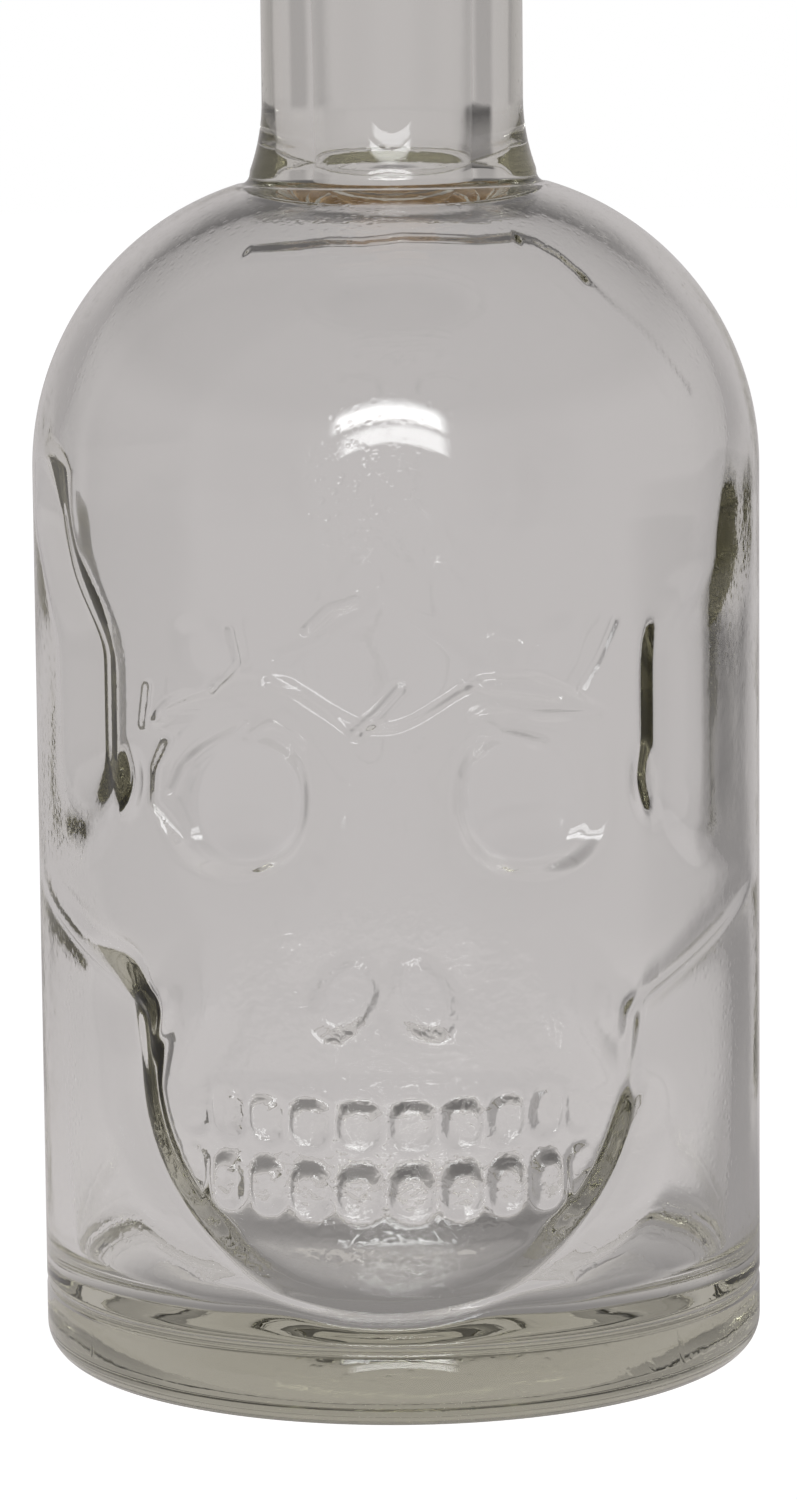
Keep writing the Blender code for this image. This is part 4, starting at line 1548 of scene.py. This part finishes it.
@dataclass(frozen=True)
class Window:
    """A bright patch of the surroundings with soft edges, which the glass mirrors as a highlight.

    Bearing 0 is in front of the skull, in degrees towards +X; every size is in degrees.
    """

    bearing: float
    half_width: float
    foot: float
    top: float
    level: float
    side_soft: float = 5.0
    foot_soft: float = 1.0
    top_soft: float = 4.0
    droop: float = 6.0

    def light(self, graph: Graph, bearing: Socket, elevation: Socket) -> Socket:
        """How much light comes from the patch.

        Args:
            graph: The world's graph.
            bearing: The direction's bearing.
            elevation: How far the direction points up.

        Returns:
            The light that comes from the direction.
        """
        off = graph.apart(bearing, self.bearing)
        across = graph.edge(off, self.half_width, -self.side_soft)
        height = graph.plus(elevation, graph.times(off, off, self.droop / self.half_width**2))
        above = graph.edge(height, self.foot, self.foot_soft)
        below = graph.edge(height, self.top, -self.top_soft)
        return graph.times(across, above, below, self.level)


@dataclass(frozen=True)
class PaintedDarkSide:
    """Painted shade on the table's dark side, soft edged, weaker near the bottle and gone far from it.

    Bearing 0 is straight behind the skull, in degrees towards +X. It gains strength over near and
    loses it over far, which are distances from the bottle's axis in metres.
    """

    bearing: float = 62.5
    half_width: float = 33.5
    soft: float = 14.0
    # Strength of the painted shade at its fullest.
    darkness: float = 0.85
    near_share: float = 0.5
    near: Pair = (0.10, 1.00)
    far: Pair = (1.0, 2.4)


@dataclass(frozen=True)
class Studio:
    """Pale table and surroundings, two bright windows in front, and the camera.

    Angles of the surroundings are in degrees and those of the camera in radians. Each pair of
    edges runs from where a thing starts to where it is full.
    """

    photo_size: tuple[int, int] = (797, 1500)
    camera_distance: float = 0.650
    camera_height: float = 0.162
    camera_pitch: float = math.radians(8.0)
    camera_bearing: float = math.radians(2.6)
    camera_roll: float = math.radians(-0.55)
    focal_pixels: float = 5630.0
    sensor_width: float = 36.0
    surroundings: Triple = (0.535, 0.512, 0.514)
    floor_size: float = 6.0
    floor_glow: float = 0.92
    floor_colour: Triple = (0.45, 0.45, 0.45)
    # The table that the glass sees has a painted pool of light round the bottle and a painted shadow in
    # front of its foot.
    painted_pool_level: float = 1.10
    painted_foot_shadow: float = 0.55
    foot: Triple = (0.0, -10.0 * MM, 0.0)
    foot_edge: Pair = (42.0 * MM, 28.0 * MM)
    near_radius: float = 0.10
    far_radius: float = 0.26
    # Painted shade on one side of the table that the glass sees.
    painted_dark_side: PaintedDarkSide = PaintedDarkSide()
    card_angle: float = 90.0
    card_edge: Pair = (20.0, 34.0)
    card_gap_darkness: float = 0.26
    card_distance: Pair = (1.0, 2.2)
    ceiling: float = 24.0
    ceiling_soft: float = 16.0
    ceiling_darkness: float = 0.75
    window_colour: Triple = (0.97, 0.99, 1.0)
    bounces: int = 128
    glass_bounces: int = 48
    windows: tuple[Window, ...] = (
        Window(bearing=0.3, half_width=17.5, foot=25.2, top=31.5, level=9.0),
        Window(bearing=2.0, half_width=16.0, foot=16.2, top=23.2, level=5.5, top_soft=2.5),
    )

    def camera(self) -> Object:
        """The camera at the photograph's place.

        Returns:
            The camera.
        """
        lens = bpy.data.cameras.new("camera")
        lens.sensor_fit = "HORIZONTAL"
        lens.sensor_width = self.sensor_width
        lens.lens = self.focal_pixels / self.photo_size[0] * self.sensor_width
        made = bpy.data.objects.new("camera", lens)
        bpy.context.scene.collection.objects.link(made)
        made.matrix_world = (
            Matrix.Rotation(self.camera_bearing, 4, "Z")
            @ Matrix.Translation((0.0, -self.camera_distance, self.camera_height))
            @ Matrix.Rotation(math.pi / 2 - self.camera_pitch, 4, "X")
            @ Matrix.Rotation(self.camera_roll, 4, "Z")
        )
        bpy.context.scene.camera = made
        return made

    def between_cards(self, graph: Graph, bearing: Socket) -> Socket:
        """How dark the far surroundings are between the pale cards that stand round the table.

        Args:
            graph: The graph of the world or the floor.
            bearing: The bearing that is looked at.

        Returns:
            The share of its light that it loses.
        """
        half = self.card_angle / 2
        turned = graph.math("FLOORED_MODULO", graph.plus(bearing, half), self.card_angle)
        return graph.times(graph.step(graph.apart(turned, half), *self.card_edge), self.card_gap_darkness)

    def darkness(self, graph: Graph, place: Socket) -> Socket:
        """How much painted shade the table has at a place, on its dark side and between the cards far off.

        Args:
            graph: The floor's graph.
            place: The place on the table.

        Returns:
            The share of its light that the table loses there.
        """
        side = self.painted_dark_side
        bearing = graph.bearing(place)
        share = graph.edge(graph.apart(bearing, side.bearing), side.half_width, -side.soft)
        radius = graph.distance(place)
        away = graph.times(graph.step(radius, *side.near), 1.0 - side.near_share)
        inside = graph.step(radius, side.far[1], side.far[0])
        near = graph.times(share, graph.plus(away, side.near_share), inside, side.darkness)
        # Painted shade on the far table in the gaps between the pale cards.
        gaps = graph.times(self.between_cards(graph, bearing), graph.step(radius, *self.card_distance))
        return graph.math("MAXIMUM", near, gaps)

    def sky_level(self, graph: Graph, direction: Socket) -> Socket:
        """How light the surroundings are in a direction above the table.

        Args:
            graph: The world's graph.
            direction: The direction.

        Returns:
            The strength of the light.
        """
        above = graph.edge(graph.elevation(direction), self.ceiling, self.ceiling_soft)
        between = self.between_cards(graph, graph.bearing(direction))
        return graph.times(graph.rest(above, self.ceiling_darkness), graph.rest(between))

    def window_light(self, graph: Graph, direction: Socket) -> Socket:
        """How much light the windows send from a direction."""
        bearing, elevation = graph.bearing(direction, -1.0), graph.elevation(direction)
        return graph.plus(*(window.light(graph, bearing, elevation) for window in self.windows))

    def world(self) -> None:
        """Surroundings that are white to the camera, and pale grey with bright windows to the glass."""
        made = bpy.data.worlds.new("surroundings")
        bpy.context.scene.world = made
        graph = cleared(made)
        direction = graph.node("ShaderNodeTexCoord").outputs["Generated"]
        pale = graph.light("ShaderNodeBackground", self.surroundings, self.sky_level(graph, direction))
        lit = self.window_light(graph, direction)
        window = graph.light("ShaderNodeBackground", self.window_colour, lit)
        whole = graph.node("ShaderNodeAddShader", {0: pale, 1: window}).outputs[0]
        white = graph.light("ShaderNodeBackground", WHITE)
        to_camera = graph.node("ShaderNodeLightPath").outputs["Is Camera Ray"]
        graph.node("ShaderNodeOutputWorld", {"Surface": graph.chosen(to_camera, whole, white)})

    def floor_level(self, graph: Graph, place: Socket) -> Socket:
        """How light the table looks through the glass, with painted light and shade.

        Args:
            graph: The floor's graph.
            place: The place on the table.

        Returns:
            The light, all painted: more round the bottle, a shadow in front of its foot, shade on the dark
                side.
        """
        near = graph.step(graph.distance(place), self.far_radius, self.near_radius)
        # Painted pool of light round the bottle.
        pool = graph.plus(graph.times(near, self.painted_pool_level - 1.0), 1.0)
        # Painted shadow of the bottle in front of its foot.
        under = graph.near(place, self.foot, *self.foot_edge)
        lit = graph.times(pool, graph.rest(under, self.painted_foot_shadow))
        return graph.times(lit, graph.rest(self.darkness(graph, place)))

    def floor(self) -> Object:
        """A wide floor: white with the bottle's shadow to the camera, pale grey to the glass.

        Returns:
            The floor.
        """
        half = self.floor_size / 2
        corners = np.array([(-half, -half, 0.0), (half, -half, 0.0), (half, half, 0.0), (-half, half, 0.0)])
        piece = fresh_mesh("floor", corners, np.array([[0, 1, 2, 3]]))
        made = bpy.data.materials.new("floor")
        graph = cleared(made)
        matt = graph.node("ShaderNodeBsdfDiffuse", {"Color": (*self.floor_colour, 1.0)}).outputs[0]
        glow = graph.light("ShaderNodeEmission", WHITE, self.floor_glow)
        lit = graph.node("ShaderNodeAddShader", {0: matt, 1: glow}).outputs[0]
        place = graph.node("ShaderNodeTexCoord").outputs["Object"]
        # What the glass sees of the floor: pale grey with painted light and shade from floor_level.
        pale = graph.light("ShaderNodeEmission", self.surroundings, self.floor_level(graph, place))
        ray = graph.node("ShaderNodeLightPath").outputs
        by_glass = graph.math("MAXIMUM", ray["Is Glossy Ray"], ray["Is Transmission Ray"])
        graph.node("ShaderNodeOutputMaterial", {"Surface": graph.chosen(by_glass, lit, pale)})
        piece.data.materials.append(made)
        return piece

    def build(self) -> None:
        """Sets the whole stage."""
        self.camera()
        self.world()
        self.floor()
        scene = bpy.context.scene
        scene.view_settings.view_transform = "Standard"
        scene.cycles.max_bounces = self.bounces
        scene.cycles.transmission_bounces = self.glass_bounces
        scene.cycles.glossy_bounces = self.bounces


def main() -> None:
    """Builds the stage and every piece of the decanter, and writes how large it is."""
    logging.basicConfig(level=logging.INFO, format="%(name)s: %(message)s")
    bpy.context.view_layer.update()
    Studio().build()
    waviness, pits = waviness_group(), pits_group()
    low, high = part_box("bottle")
    bottle = GlassBottle(radius=(high.x - low.x) / 2, height=high.z)
    pieces = [bottle.build(GlassFinish(waviness, pits))]
    head_low, head_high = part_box("stopper_head")
    shank_low, shank_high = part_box("stopper_cork")
    stopper = Stopper(
        head_radius=(head_high.x - head_low.x) / 2,
        head_top=head_high.z,
        head_foot=head_low.z,
        shank_radius=(shank_high.x - shank_low.x) / 2,
        shank_foot=shank_low.z,
        shank_top=shank_high.z,
    )
    pieces += stopper.build(WoodFinish(waviness, pits), CorkFinish(waviness, pits))
    for piece in pieces:
        LOG.info("%s has %d faces", piece.name, len(piece.data.polygons))


if __name__ == "__main__":
    main()
